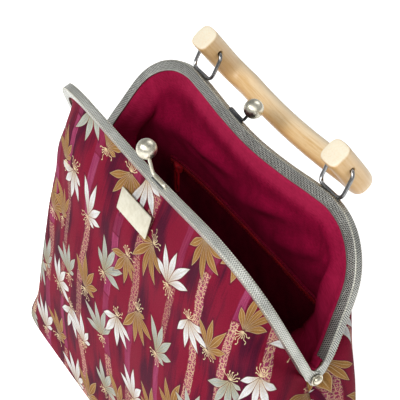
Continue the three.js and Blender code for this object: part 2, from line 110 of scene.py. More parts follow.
def tubeFaces(rings, sides, closed=False):
    faces = gridFaces(rings, sides, closed=True).tolist()
    last = (rings - 1) * sides
    if closed:
        faces += [[last + j, last + (j + 1) % sides, (j + 1) % sides, j] for j in range(sides)]
    else:
        faces += [list(range(sides))[::-1], list(range(last, last + sides))]
    return faces


def joinParts(*parts):  # the points and faces of several shapes as one mesh
    points, faces = [], []
    for partPoints, partFaces in parts:
        start = sum(map(len, points))
        points.append(partPoints)
        faces += [[i + start for i in face] for face in partFaces]
    return np.concatenate(points), faces


def unit(vectors):
    return vectors / np.maximum(np.linalg.norm(vectors, axis=-1, keepdims=True), 1e-9)


def ease(value, low, high):
    share = np.clip((value - low) / (high - low), 0, 1)
    return share * share * (3 - 2 * share)


def between(p, q, tp, tq, t):
    return p + (q - p) * ((t - tp) / (tq - tp))[..., None]


def splineThrough(control, parts):  # centripetal curve through rows of points, parts[i] steps in span i
    control = np.asarray(control, float)
    full = np.concatenate([[2 * control[0] - control[1]], control, [2 * control[-1] - control[-2]]])
    gaps = np.sqrt(np.maximum(np.linalg.norm(np.diff(full, axis=0), axis=-1), 1e-4))
    made = []
    for i in range(len(control) - 1):
        p0, p1, p2, p3 = full[i:i + 4]
        t1 = gaps[i]
        t2 = t1 + gaps[i + 1]
        t3 = t2 + gaps[i + 2]
        t0 = t1 * 0
        for step in range(parts[i]):
            t = t1 + (t2 - t1) * step / parts[i]
            a1 = between(p0, p1, t0, t1, t)
            a2 = between(p1, p2, t1, t2, t)
            a3 = between(p2, p3, t2, t3, t)
            made.append(between(between(a1, a2, t0, t2, t), between(a2, a3, t1, t3, t), t1, t2, t))
    made.append(control[-1])
    return np.array(made)


def lengthAlong(points):
    return np.concatenate([[0], np.cumsum(np.linalg.norm(np.diff(points, axis=0), axis=-1))])


def evenly(points, count):  # the same path with even steps
    length = lengthAlong(points)
    places = np.linspace(0, length[-1], count)
    return np.stack([np.interp(places, length, points[:, k]) for k in range(points.shape[1])], -1)


def bendPoints(start, corner, end, count):  # quadratic curve that leaves and arrives along the corner's sides
    shares = np.linspace(0, 1, count)
    return [(1 - s) ** 2 * start + 2 * s * (1 - s) * corner + s ** 2 * end for s in shares]


def roundedPath(corners, rounding, steps=8):  # straight runs joined by quadratic corners
    corners = [np.asarray(corner, float) for corner in corners]
    path = [corners[0]]
    for before, corner, after, size in zip(corners, corners[1:], corners[2:], rounding):
        enter = corner + unit(before - corner) * size
        leave = corner + unit(after - corner) * size
        path += bendPoints(enter, corner, leave, steps + 1)
    return np.array(path + [corners[-1]])


def ringAngles(sides):
    return np.linspace(0, 2 * np.pi, sides, endpoint=False)


def wirePoints(path, radius, sides, closed=False):  # round wire with rings that don't twist
    if closed:
        tangent = unit(np.roll(path, -1, 0) - np.roll(path, 1, 0))
    else:
        tangent = unit(np.gradient(path, axis=0))
    guide = unit(np.cross(tangent[0], [0.31, 0.87, 0.38]))  # a direction that no wire here starts along
    angle = ringAngles(sides)
    points = []
    for point, direction in zip(path, tangent):
        guide = unit(guide - direction * (guide @ direction))
        other = np.cross(direction, guide)
        points.append(point + radius * (np.cos(angle)[:, None] * guide + np.sin(angle)[:, None] * other))
    return np.concatenate(points)


# shader helpers

def addNode(tree, kind, inputs=(), **settings):
    made = tree.nodes.new(kind)
    for key, value in settings.items():
        setattr(made, key, value)
    for key, value in dict(inputs).items():
        if isinstance(value, bpy.types.NodeSocket):
            tree.links.new(value, made.inputs[key])
        else:
            made.inputs[key].default_value = value
    return made


def calc(tree, operation, *values):
    return addNode(tree, "ShaderNodeMath", enumerate(values), operation=operation).outputs[0]


def fade(tree, value, low, high, toLow=0.0, toHigh=1.0):  # a look's pairs and fours of numbers are read here
    inputs = {"Value": value, "From Min": low, "From Max": high, "To Min": toLow, "To Max": toHigh}
    return addNode(tree, "ShaderNodeMapRange", inputs).outputs[0]


def weighted(tree, a, aShare, b, bShare):
    return calc(tree, "ADD", calc(tree, "MULTIPLY", a, aShare), calc(tree, "MULTIPLY", b, bShare))


def upFrom(tree, value, least, more):  # a random share as a size between two others
    return calc(tree, "ADD", least, calc(tree, "MULTIPLY", value, more))


def about(tree, value, width):  # a random share as a step to either side
    return calc(tree, "MULTIPLY", calc(tree, "SUBTRACT", value, 0.5), width)


def limit(tree, value, low, high):
    return calc(tree, "MAXIMUM", calc(tree, "MINIMUM", value, high), low)


def distance(tree, x, y):
    return calc(tree, "SQRT", calc(tree, "ADD", calc(tree, "MULTIPLY", x, x), calc(tree, "MULTIPLY", y, y)))


def opaque(colour):  # a plain colour gets its alpha, and a socket stays as it is
    return colour if isinstance(colour, bpy.types.NodeSocket) else (*colour, 1)


def mixColour(tree, factor, a, b, blend="MIX"):
    inputs = {0: factor, 6: opaque(a), 7: opaque(b)}
    return addNode(tree, "ShaderNodeMix", inputs, data_type="RGBA", blend_type=blend).outputs[2]


def shaded(tree, colour, shade):  # the colour times a plain value
    grey = addNode(tree, "ShaderNodeCombineColor", {0: shade, 1: shade, 2: shade}).outputs[0]
    return mixColour(tree, 1.0, colour, grey, "MULTIPLY")


def colourSteps(tree, value, stops):
    made = addNode(tree, "ShaderNodeValToRGB", {0: value})
    ramp = made.color_ramp
    ramp.interpolation = "CONSTANT"
    while len(ramp.elements) < len(stops):
        ramp.elements.new(1.0)
    for element, (place, colour) in zip(ramp.elements, stops):
        element.position = place
        element.color = opaque(colour)
    return made.outputs[0]


def axesOf(tree, vector):
    return addNode(tree, "ShaderNodeSeparateXYZ", {0: vector}).outputs


def pointOf(tree, x, y, z=0.0):
    return addNode(tree, "ShaderNodeCombineXYZ", {0: x, 1: y, 2: z}).outputs[0]


def stretch(tree, vector, scale, offset=(0, 0, 0)):
    inputs = {"Vector": vector, "Scale": scale, "Location": offset}
    return addNode(tree, "ShaderNodeMapping", inputs).outputs[0]


def noise(tree, vector, scale=1.0, detail=3.0, rough=0.55):
    inputs = {"Vector": vector, "Scale": scale, "Detail": detail, "Roughness": rough}
    return addNode(tree, "ShaderNodeTexNoise", inputs).outputs[0]


def grain(tree, plan, steps, detail=3.0, rough=0.55, shift=(0, 0, 0)):  # steps for each millimetre, two ways
    return noise(tree, stretch(tree, plan, (*steps, 1), shift), 1.0, detail, rough)


def cells(tree, plan, feature, scale, randomness=1.0):
    inputs = {"Vector": plan, "Scale": scale, "Randomness": randomness}
    made = addNode(tree, "ShaderNodeTexVoronoi", inputs, feature=feature, voronoi_dimensions="2D")
    return made.outputs["Distance"]


def chance(tree, x, y, z):  # three fixed random numbers for a cell, and others for another z
    made = addNode(tree, "ShaderNodeTexWhiteNoise", {"Vector": pointOf(tree, x, y, z)}, noise_dimensions="3D")
    return addNode(tree, "ShaderNodeSeparateColor", {0: made.outputs["Color"]}).outputs


def attributeOf(tree, label):  # a value that the mesh carries
    return addNode(tree, "ShaderNodeAttribute", attribute_name=label).outputs["Fac"]


def objectPlace(tree):
    return addNode(tree, "ShaderNodeTexCoord").outputs["Object"]


def planOf(tree):  # the piece's own flat plan, in millimetres
    flat = addNode(tree, "ShaderNodeUVMap", uv_map="plan").outputs[0]
    return stretch(tree, flat, (1 / mm, 1 / mm, 1 / mm))


def socketName(key):  # leafWidth is the socket Leaf Width
    words = "".join(" " + c if c.isupper() else c for c in key)
    return words[0].upper() + words[1:]


def newGroup(name, inputs, outputs):
    tree = bpy.data.node_groups.new(name, "ShaderNodeTree")
    for label, value in inputs.items():
        kind = "NodeSocketVector" if isinstance(value, tuple) else "NodeSocketFloat"
        tree.interface.new_socket(label, in_out="INPUT", socket_type=kind).default_value = value
    for label in outputs:
        tree.interface.new_socket(label, in_out="OUTPUT", socket_type="NodeSocketFloat")
    return tree, tree.nodes.new("NodeGroupInput").outputs, tree.nodes.new("NodeGroupOutput").inputs


def giveOut(tree, result, **values):
    for key, value in values.items():
        tree.links.new(value, result[socketName(key)])


def useGroup(tree, group, **inputs):
    named = {socketName(key): value for key, value in inputs.items()}
    return addNode(tree, "ShaderNodeGroup", named, node_tree=group).outputs


def newMaterial(name, values):
    material = bpy.data.materials.new(name)
    material.use_nodes = True
    shader = material.node_tree.nodes["Principled BSDF"]
    for label, value in values.items():
        shader.inputs[label].default_value = value
    return material, material.node_tree, shader


def toShader(tree, shader, **links):
    for key, socket in links.items():
        tree.links.new(socket, shader.inputs[socketName(key)])


def bumpTo(tree, shader, height, strength, depth):  # depth in millimetres
    inputs = {"Height": height, "Strength": strength, "Distance": depth * mm}
    tree.links.new(addNode(tree, "ShaderNodeBump", inputs).outputs[0], shader.inputs["Normal"])


# shared effects

def weaveGroup():  # over-and-under threads, with uneven yarn
    yarn = dict(slub=(0.9, 0.12), relief=0.6)
    tree, given, result = newGroup("clothWeave", {"Plan": (0, 0, 0), "Thread": 0.5}, ["Height", "Slub"])
    op = partial(calc, tree)
    turn = op("DIVIDE", np.pi, given["Thread"])
    axes = axesOf(tree, given["Plan"])
    warp = op("SINE", op("MULTIPLY", axes[0], turn))
    weft = op("SINE", op("MULTIPLY", axes[1], turn))
    thread = op("ABSOLUTE", op("MULTIPLY", warp, weft))
    slub = grain(tree, given["Plan"], yarn["slub"], 2.0)
    giveOut(tree, result, height=op("ADD", thread, op("MULTIPLY", slub, yarn["relief"])), slub=slub)
    return tree


def tarnishGroup():  # random stains, fine specks and drawn streaks of old plated metal
    wear = dict(stain=(0.38, 0.66), speck=(0.35, 0.7), speckScale=14.0, brushScale=9.0,
                brushPull=(3, 3, 0.12))
    tree, given, result = newGroup("metalTarnish", {"Place": (0, 0, 0), "Scale": 60.0},
                                   ["Stain", "Speck", "Brush"])
    place, scale = given["Place"], given["Scale"]
    broad = noise(tree, place, scale, 4.0, 0.6)
    fine = noise(tree, place, calc(tree, "MULTIPLY", scale, wear["speckScale"]), 2.0)
    drawn = stretch(tree, place, wear["brushPull"])
    brush = noise(tree, drawn, calc(tree, "MULTIPLY", scale, wear["brushScale"]))
    giveOut(tree, result, stain=fade(tree, broad, *wear["stain"]), speck=fade(tree, fine, *wear["speck"]),
            brush=brush)
    return tree


weave = weaveGroup()
tarnish = tarnishGroup()


# printed cloth: streaked ground, stalks and leaf sprays

sprayShape = dict(
    columnDrop=0.37, wanderAcross=10.0, wanderUp=8.0, hanging=0.45, footLow=0.22,  # its place in a cell
    turn=1.1, sweep=0.026, droop=0.010, spread=0.47, sideLeaves=2.0,  # radians, some for each millimetre
    shorten=0.065, lengths=(0.84, 0.3), footPower=0.8, tipPower=1.2, fullness=3.7,  # outline of a leaf
    roomShare=0.49, roomSoft=1.6, narrowest=0.2,
    edge=(0.0, 0.3), rim=(0.22, 0.5, 1.0, 0.0), rib=(0.08, 0.26, 0.5, 0.0), ribEnd=(0.9, 0.7),
    halo=(-1.1, -0.1), haloEnd=1.04, fibre=(44.0, 2.2, 40.0),
    twigStep=0.40, twigTurn=-0.6, sideTwigs=3.0, twigWave=(1.5, 0.07), twigLengths=(3.5, 5.5),
    twigEdge=(0.12, 0.30, 1.0, 0.0), budEdge=(0.4, 0.62, 1.0, 0.0),
)
stalkShape = dict(
    places=(0.35, 0.3), halves=(0.7, 0.6), sway=16.0, swayStep=0.012, ragged=2.4, raggedGrain=(0.5, 0.12),
    jointLength=48.0, jointShift=5.0, jointGap=0.02, edge=(-0.15, 0.35),
    mosaic=(0.36, 0.8), mosaicLine=(0.05, 0.13, 1.0, 0.0), petal=0.8, petalEdge=(0.18, 0.3, 1.0, 0.0),
    plain=0.5,  # share of the stalks' sections that carry no florets
)
printedLook = dict(
    ground=(0.185, 0.004, 0.023), plum=(0.048, 0.002, 0.017), ruby=(0.235, 0.007, 0.033),
    stalk=(0.23, 0.017, 0.070), stalkLight=(0.32, 0.055, 0.125), floret=(0.55, 0.36, 0.22),
    goldLine=(0.66, 0.54, 0.31),
    leafTips=[(0.0, (0.33, 0.165, 0.045)), (0.38, (0.40, 0.43, 0.39)), (0.68, (0.70, 0.705, 0.71))],
    leafBases=[(0.0, (0.21, 0.085, 0.020)), (0.38, (0.24, 0.23, 0.15)), (0.68, (0.50, 0.41, 0.34))],
    lattices=[dict(seed=7.0, shift=(0, 0, 0)), dict(seed=21.0, shift=(22.5, 26.0, 0))],
    cellWidth=45.0, cellHeight=52.0, leafLength=26.0, leafWidth=3.1, stalkSpacing=31.0, stalkHalf=3.9,
    stalkSeed=5.0,
    patchGrain=(0.055, 0.016), brushGrain=(0.9, 0.03), brushShare=0.22, patch=(0.57, 0.72, 0.0, 0.9),
    rubyGrain=(0.12, 0.02), rubyShift=(31, 5, 0), rubyPatch=(0.52, 0.72, 0.0, 0.35),
    caneGrain=(1.1, 0.05), caneStreak=(0.4, 0.68), stalkStrength=(0.0, 0.6, 0.45, 1.0),
    leafBlend=(0.12, 0.62), leafStreak=(0.3, 0.7, 0.78, 1.08), leafSide=(0.1, 0.9, 0.86, 1.06),
    outline=0.8, halo=0.45, napGrain=(1.5, 1.1), nap=(0.3, 0.7, 0.80, 1.16),
    thread=0.5, rough=(0.82, 0.5), bump=(0.25, 0.12),  # bump's strength, and its depth in millimetres
)


def sprayGroup():
    shape = sprayShape
    tree, given, result = newGroup(
        "leafSpray",
        {"Plan": (0, 0, 0), "Cell Width": 50, "Cell Height": 60, "Seed": 0, "Leaf Length": 25,
         "Leaf Width": 3.5},
        ["Leaf", "Outline", "Along", "Tone", "Twig", "Streak", "Halo", "Side"])
    op = partial(calc, tree)
    wide, high, seed = given["Cell Width"], given["Cell Height"], given["Seed"]
    axes = axesOf(tree, given["Plan"])
    column = op("FLOOR", op("DIVIDE", axes[0], wide))
    drop = op("MULTIPLY", op("FRACT", op("MULTIPLY", column, shape["columnDrop"])), high)
    up = op("ADD", axes[1], drop)
    row = op("FLOOR", op("DIVIDE", up, high))
    cell = chance(tree, column, row, seed)
    look = chance(tree, column, row, op("ADD", seed, 4.0))
    x = op("SUBTRACT", axes[0], op("MULTIPLY", op("ADD", column, 0.5), wide))
    x = op("SUBTRACT", x, about(tree, cell[1], shape["wanderAcross"]))
    y = op("SUBTRACT", up, op("MULTIPLY", op("ADD", row, 0.5), high))
    upright = op("SIGN", op("SUBTRACT", cell[0], shape["hanging"]))  # sprays stand or hang
    y = op("ADD", op("MULTIPLY", y, upright), op("MULTIPLY", high, shape["footLow"]))
    y = op("SUBTRACT", y, about(tree, look[1], shape["wanderUp"]))
    radius = distance(tree, x, y)
    turn = about(tree, cell[2], shape["turn"])
    sweep = about(tree, look[2], shape["sweep"])  # whole sprays bend to one side
    angle = op("ADD", op("ADD", op("ARCTAN2", x, y), turn), op("MULTIPLY", radius, sweep))
    angle = op("DIVIDE", angle, op("ADD", 1.0, op("MULTIPLY", radius, shape["droop"])))
    spread = shape["spread"]
    fewer = op("ROUND", look[2])  # some sprays lack a leaf on one side
    most, least = op("ADD", shape["sideLeaves"], fewer), op("SUBTRACT", fewer, shape["sideLeaves"])
    count = limit(tree, op("ROUND", op("DIVIDE", angle, spread)), least, most)
    off = op("SUBTRACT", angle, op("MULTIPLY", count, spread))
    vary = chance(tree, op("ADD", column, op("MULTIPLY", count, 0.37)),
                  op("ADD", row, op("MULTIPLY", count, 1.3)), op("ADD", seed, 9.0))
    shorter = op("SUBTRACT", 1.0, op("MULTIPLY", op("MULTIPLY", count, count), shape["shorten"]))
    length = op("MULTIPLY", given["Leaf Length"], shorter)
    along = op("DIVIDE", radius, op("MULTIPLY", length, upFrom(tree, vary[0], *shape["lengths"])))
    ahead = op("MAXIMUM", op("SUBTRACT", 1.0, along), 0.0)
    tip = op("MULTIPLY", op("POWER", ahead, shape["tipPower"]), shape["fullness"])
    lens = op("MULTIPLY", op("POWER", along, shape["footPower"]), tip)  # widest near the foot
    room = op("MULTIPLY", radius, spread * shape["roomShare"])
    half = op("SMOOTH_MIN", op("MULTIPLY", given["Leaf Width"], lens), room, shape["roomSoft"])
    aside = op("MULTIPLY", radius, op("ABSOLUTE", off))
    inside = op("SUBTRACT", half, aside)
    leaf = fade(tree, inside, *shape["edge"])
    rib = op("MULTIPLY", fade(tree, aside, *shape["rib"]), fade(tree, along, *shape["ribEnd"]))
    line = op("MAXIMUM", fade(tree, inside, *shape["rim"]), rib)
    halo = op("MULTIPLY", fade(tree, inside, *shape["halo"]), op("LESS_THAN", along, shape["haloEnd"]))
    fibres = [op("MULTIPLY", value, scale) for value, scale in zip((off, along, look[2]), shape["fibre"])]
    # twigs fan out on the other side of the spray's foot
    bend, wobble = shape["twigWave"]
    wave = op("MULTIPLY", op("SINE", op("MULTIPLY", radius, bend)), wobble)
    turned = op("ADD", op("ARCTAN2", x, op("MULTIPLY", y, -1.0)), op("MULTIPLY", turn, shape["twigTurn"]))
    twigAngle = op("ADD", turned, wave)
    twig = op("ROUND", op("DIVIDE", twigAngle, shape["twigStep"]))
    twig = limit(tree, twig, -shape["sideTwigs"], shape["sideTwigs"])
    twigOff = op("SUBTRACT", twigAngle, op("MULTIPLY", twig, shape["twigStep"]))
    twigVary = chance(tree, op("ADD", column, op("MULTIPLY", twig, 0.41)), row, op("ADD", seed, 17.0))
    twigLength = upFrom(tree, twigVary[0], *shape["twigLengths"])
    across = op("MULTIPLY", radius, op("ABSOLUTE", twigOff))
    thin = op("MULTIPLY", fade(tree, across, *shape["twigEdge"]), op("LESS_THAN", radius, twigLength))
    fromBud = distance(tree, op("SUBTRACT", radius, twigLength), across)
    giveOut(tree, result, leaf=leaf, outline=op("MULTIPLY", leaf, line), along=along, tone=look[0], halo=halo,
            side=op("DIVIDE", aside, op("MAXIMUM", half, shape["narrowest"])),
            streak=noise(tree, pointOf(tree, *fibres), 1.0, 2.0),
            twig=op("MAXIMUM", thin, fade(tree, fromBud, *shape["budEdge"])))
    return tree


def stalkGroup():
    shape = stalkShape
    tree, given, result = newGroup(
        "stalkBand", {"Plan": (0, 0, 0), "Spacing": 36, "Half": 4.5, "Seed": 0}, ["Band", "Floret", "Bright"])
    op = partial(calc, tree)
    plan, seed = given["Plan"], given["Seed"]
    axes = axesOf(tree, plan)
    column = op("FLOOR", op("DIVIDE", axes[0], given["Spacing"]))
    lot = chance(tree, column, 2.5, seed)
    sway = noise(tree, pointOf(tree, column, op("MULTIPLY", axes[1], shape["swayStep"])), 1.0, 1.0)
    place = op("ADD", column, upFrom(tree, lot[0], *shape["places"]))
    centre = op("ADD", op("MULTIPLY", place, given["Spacing"]), about(tree, sway, shape["sway"]))
    jointShift = op("MULTIPLY", lot[1], shape["jointShift"])
    joints = op("ADD", op("DIVIDE", axes[1], shape["jointLength"]), jointShift)
    kind = chance(tree, column, op("FLOOR", joints), op("ADD", seed, 6.0))
    half = op("MULTIPLY", given["Half"], upFrom(tree, lot[2], *shape["halves"]))
    ragged = about(tree, grain(tree, plan, shape["raggedGrain"]), shape["ragged"])
    aside = op("ADD", op("ABSOLUTE", op("SUBTRACT", axes[0], centre)), ragged)
    band = fade(tree, op("SUBTRACT", half, aside), *shape["edge"])
    joint, jointGap = op("FRACT", joints), shape["jointGap"]
    gap = op("MULTIPLY", fade(tree, joint, 0.0, jointGap), fade(tree, joint, 1.0, 1 - jointGap))
    lines = fade(tree, cells(tree, plan, "DISTANCE_TO_EDGE", *shape["mosaic"]), *shape["mosaicLine"])
    petals = fade(tree, cells(tree, plan, "F1", shape["petal"]), *shape["petalEdge"])
    flowering = op("GREATER_THAN", kind[0], shape["plain"])
    giveOut(tree, result, band=op("MULTIPLY", band, gap), bright=kind[1],
            floret=op("MULTIPLY", op("MAXIMUM", lines, petals), flowering))
    return tree


def printedCloth():
    look = printedLook
    material, tree, shader = newMaterial("printedCloth", {"Specular IOR Level": 0.12})
    op = partial(calc, tree)
    plan = planOf(tree)
    patch = grain(tree, plan, look["patchGrain"], 2.0)
    brush = op("MULTIPLY", grain(tree, plan, look["brushGrain"], 3.0, 0.6), look["brushShare"])
    dark = fade(tree, op("ADD", patch, brush), *look["patch"])
    colour = mixColour(tree, dark, look["ground"], look["plum"])
    bright = grain(tree, plan, look["rubyGrain"], 4.0, shift=look["rubyShift"])
    colour = mixColour(tree, fade(tree, bright, *look["rubyPatch"]), colour, look["ruby"])
    stalks = useGroup(tree, stalkGroup(), plan=plan, spacing=look["stalkSpacing"], half=look["stalkHalf"],
                      seed=look["stalkSeed"])
    streak = grain(tree, plan, look["caneGrain"])
    cane = mixColour(tree, fade(tree, streak, *look["caneStreak"]), look["stalk"], look["stalkLight"])
    cane = mixColour(tree, stalks["Floret"], cane, look["floret"])
    strength = op("MULTIPLY", stalks["Band"], fade(tree, stalks["Bright"], *look["stalkStrength"]))
    colour = mixColour(tree, strength, colour, cane)
    spray = sprayGroup()
    sizes = {key: look[key] for key in ("cellWidth", "cellHeight", "leafLength", "leafWidth")}
    gold = 0.0
    for lattice in look["lattices"]:
        shifted = stretch(tree, plan, (1, 1, 1), lattice["shift"])
        made = useGroup(tree, spray, plan=shifted, seed=lattice["seed"], **sizes)
        foot, tip = (colourSteps(tree, made["Tone"], look[key]) for key in ("leafBases", "leafTips"))
        leaf = mixColour(tree, fade(tree, made["Along"], *look["leafBlend"]), foot, tip)
        fibre = fade(tree, made["Streak"], *look["leafStreak"])
        leaf = shaded(tree, leaf, op("MULTIPLY", fibre, fade(tree, made["Side"], *look["leafSide"])))
        leaf = mixColour(tree, op("MULTIPLY", made["Outline"], look["outline"]), leaf, look["goldLine"])
        colour = mixColour(tree, op("MULTIPLY", made["Halo"], look["halo"]), colour, look["plum"])
        colour = mixColour(tree, made["Twig"], colour, look["goldLine"])
        colour = mixColour(tree, made["Leaf"], colour, leaf)
        gold = op("MAXIMUM", gold, op("MAXIMUM", made["Outline"], made["Twig"]))
    threads = useGroup(tree, weave, plan=plan, thread=look["thread"])
    nap = grain(tree, plan, look["napGrain"], 2.0)
    colour = shaded(tree, colour, fade(tree, nap, *look["nap"]))
    toShader(tree, shader, baseColor=colour, roughness=fade(tree, gold, 0.0, 1.0, *look["rough"]))
    bumpTo(tree, shader, threads["Height"], *look["bump"])
    return material


def liningCloth():
    # faded is a brighter colour painted as light on the band just under the frame; mottleUnderPaintedLight
    # weakens the darker mottle there
    look = dict(colour=(0.292, 0.0033, 0.040), deep=(0.155, 0.0012, 0.019), faded=(0.48, 0.021, 0.082),
                thread=0.55, mottleGrain=(0.08, 0.05), mottle=0.5, yarnGrain=(0.35, 1.7), yarn=0.6,
                shade=(0.42, 0.70), paintedLitShare=0.9, mottleUnderPaintedLight=(1.0, 0.35), rough=(0.2, 0.8, 0.82, 0.95),
                bump=(0.35, 0.15))
    material, tree, shader = newMaterial("liningCloth", {"Specular IOR Level": 0.06})
    plan = planOf(tree)
    threads = useGroup(tree, weave, plan=plan, thread=look["thread"])
    mottle = grain(tree, plan, look["mottleGrain"], 4.0)
    yarn = grain(tree, plan, look["yarnGrain"], 2.0)
    shade = fade(tree, weighted(tree, yarn, look["yarn"], mottle, look["mottle"]), *look["shade"])
    # painted light: where the rolled attribute is 1, the lining is mixed towards the brighter colour
    rolled = attributeOf(tree, "rolled")
    colour = mixColour(tree, calc(tree, "MULTIPLY", rolled, look["paintedLitShare"]), look["colour"], look["faded"])
    deep = calc(tree, "MULTIPLY", shade, fade(tree, rolled, 0.0, 1.0, *look["mottleUnderPaintedLight"]))
    colour = mixColour(tree, deep, colour, look["deep"])
    toShader(tree, shader, baseColor=colour, roughness=fade(tree, threads["Slub"], *look["rough"]))
    bumpTo(tree, shader, threads["Height"], *look["bump"])
    return material


def pewterMetal():
    look = dict(light=(0.77, 0.775, 0.715), dark=(0.415, 0.42, 0.39), pit=(0.020, 0.022, 0.024),
                edge=(0.235, 0.235, 0.21), along=1.35, across=2.3, net=(0.70, 0.95), hollow=(0.99, 0.84),
                scale=70.0, stained=0.55, pitted=0.85, edged=0.9, rough=(0.38, 0.52), bump=(0.6, 0.25))
    material, tree, shader = newMaterial("antiquePewter", {"Metallic": 1.0})
    op = partial(calc, tree)
    axes = axesOf(tree, planOf(tree))
    along = op("MULTIPLY", axes[0], np.pi / look["along"])
    across = op("MULTIPLY", axes[1], np.pi / look["across"])
    diagonals = [op("SINE", op(way, along, across)) for way in ("ADD", "SUBTRACT")]
    lattice = op("MAXIMUM", *(op("ABSOLUTE", wave) for wave in diagonals))
    face = attributeOf(tree, "face")
    net = op("MULTIPLY", face, fade(tree, lattice, *look["net"]))
    hollow = op("MULTIPLY", face, fade(tree, lattice, *look["hollow"]))
    worn = useGroup(tree, tarnish, place=objectPlace(tree), scale=look["scale"])
    colour = mixColour(tree, op("MULTIPLY", worn["Stain"], look["stained"]), look["light"], look["dark"])
    colour = mixColour(tree, op("MULTIPLY", hollow, look["pitted"]), colour, look["pit"])
    colour = mixColour(tree, op("MULTIPLY", attributeOf(tree, "rim"), look["edged"]), colour, look["edge"])
    toShader(tree, shader, baseColor=colour, roughness=fade(tree, worn["Speck"], 0.0, 1.0, *look["rough"]))
    bumpTo(tree, shader, net, *look["bump"])
    return material


def plainMetal(name, light, dark, rough, scale, brush=0.15):
    look = dict(stain=0.55, brush=0.5, shade=(0.15, 0.9), gloss=(0.25, 0.75), smoothest=0.75, dullest=1.3,
                depth=0.1)
    material, tree, shader = newMaterial(name, {"Metallic": 1.0})
    worn = useGroup(tree, tarnish, place=objectPlace(tree), scale=scale)
    shade = weighted(tree, worn["Stain"], look["stain"], worn["Brush"], look["brush"])
    colour = mixColour(tree, fade(tree, shade, *look["shade"]), light, dark)
    gloss = fade(tree, worn["Brush"], *look["gloss"], rough * look["smoothest"], rough * look["dullest"])
    toShader(tree, shader, baseColor=colour, roughness=gloss)
    bumpTo(tree, shader, worn["Brush"], brush, look["depth"])
    return material


def beechWood():
    look = dict(pale=(0.93, 0.72, 0.45), honey=(0.72, 0.44, 0.17), fleck=(0.54, 0.30, 0.11),
                edge=(0.60, 0.29, 0.065), end=(0.97, 0.91, 0.73), rubbed=(0.97, 0.83, 0.61),
                ringGrain=(0.02, 0.30), rings=0.5, fineGrain=(0.045, 0.8), fine=0.8, streaks=(0.54, 0.84),
                fleckGrain=(0.22, 3.4), flecks=(0.58, 0.72, 0.0, 0.55),
                # painted light and shade by the upper attribute: rubbed on the side turned up and back; honey
                # and the darker edge colour as painted shade on the lower side and underside
                paintedShadeLower=(-0.8, 0.2, 0.75, 0.0), paintedLightUpper=(0.0, 0.8, 0.0, 0.8),
                paintedShadeUnder=(-1.0, -0.55, 0.55, 0.0),
                browner=[(20.0, 150.0, 0.30, 0.0), (165.0, 180.0, 0.0, 0.42)],  # painted shade near both ends, by places along the handle
                poreScale=900.0, pores=(0.45, 0.8, 0.0, 0.5), endShare=0.85,
                rough=(0.3, 0.7, 0.34, 0.5), bump=(0.12, 0.2))
    material, tree, shader = newMaterial(
        "beechWood", {"Coat Weight": 0.25, "Coat Roughness": 0.3, "Specular IOR Level": 0.4})
    plan = planOf(tree)
    rings = grain(tree, plan, look["ringGrain"])
    fine = grain(tree, plan, look["fineGrain"], 4.0, 0.6)
    flecks = grain(tree, plan, look["fleckGrain"], 2.0)
    streaks = weighted(tree, rings, look["rings"], fine, look["fine"])
    colour = mixColour(tree, fade(tree, streaks, *look["streaks"]), look["pale"], look["honey"])
    colour = mixColour(tree, fade(tree, flecks, *look["flecks"]), colour, look["fleck"])
    # painted highlight on the upper side, painted shade on the lower side and underside
    upper = attributeOf(tree, "upper")
    for side, tint in (("paintedShadeLower", "honey"), ("paintedLightUpper", "rubbed"), ("paintedShadeUnder", "edge")):
        colour = mixColour(tree, fade(tree, upper, *look[side]), colour, look[tint])
    along = axesOf(tree, plan)[0]
    for reach in look["browner"]:  # painted shade: browner near the left end, paler towards the middle, and browner again past the right bend
        colour = mixColour(tree, fade(tree, along, *reach), colour, look["honey"])
    pores = noise(tree, objectPlace(tree), look["poreScale"], 2.0)
    cut = mixColour(tree, fade(tree, pores, *look["pores"]), look["end"], look["pale"])
    colour = mixColour(tree, calc(tree, "MULTIPLY", attributeOf(tree, "end"), look["endShare"]), colour, cut)
    toShader(tree, shader, baseColor=colour, roughness=fade(tree, fine, *look["rough"]))
    bumpTo(tree, shader, fine, *look["bump"])
    return material


def zipCoil(name, colour, rough):
    look = dict(scale=160.0, deep=0.45, dull=0.2)
    material, tree, shader = newMaterial(name, {"Coat Weight": 0.2, "Coat Roughness": 0.3})
    worn = useGroup(tree, tarnish, place=objectPlace(tree), scale=look["scale"])
    deep = tuple(look["deep"] * c for c in colour)
    toShader(tree, shader, baseColor=mixColour(tree, worn["Stain"], colour, deep),
             roughness=fade(tree, worn["Speck"], 0.0, 1.0, rough, rough + look["dull"]))
    return material


printedMat = printedCloth()
liningMat = liningCloth()
pewterMat = pewterMetal()
ringMat = plainMetal("gunmetalWire", (0.42, 0.42, 0.42), (0.12, 0.125, 0.13), 0.20, 90.0)
# dark metal painted as shadow: a thin bar under each clasp wire, and the whole back clasp wire
paintedShadowMat = plainMetal("paintedShadowMetal", (0.27, 0.275, 0.28), (0.07, 0.075, 0.085), 0.24, 90.0)
beadMat = plainMetal("rubbedEdge", (0.80, 0.78, 0.66), (0.52, 0.50, 0.41), 0.33, 90.0)
brassMat = plainMetal("paleBrass", (0.86, 0.82, 0.68), (0.34, 0.325, 0.26), 0.30, 230.0, 0.3)
plateMat = plainMetal("plateGold", (0.66, 0.635, 0.53), (0.55, 0.515, 0.40), 0.42, 240.0, 0.35)
rivetMat = plainMetal("rivetBrass", (0.80, 0.76, 0.63), (0.46, 0.43, 0.34), 0.32, 140.0)
beechMat = beechWood()
boreMat = zipCoil("boreShade", (0.10, 0.05, 0.02), 0.7)
zipMat = zipCoil("zipNylon", (0.58, 0.008, 0.016), 0.4)
pullMat = zipCoil("pullPaint", (0.78, 0.014, 0.030), 0.3)
print("materials made")


# camera, floor and light

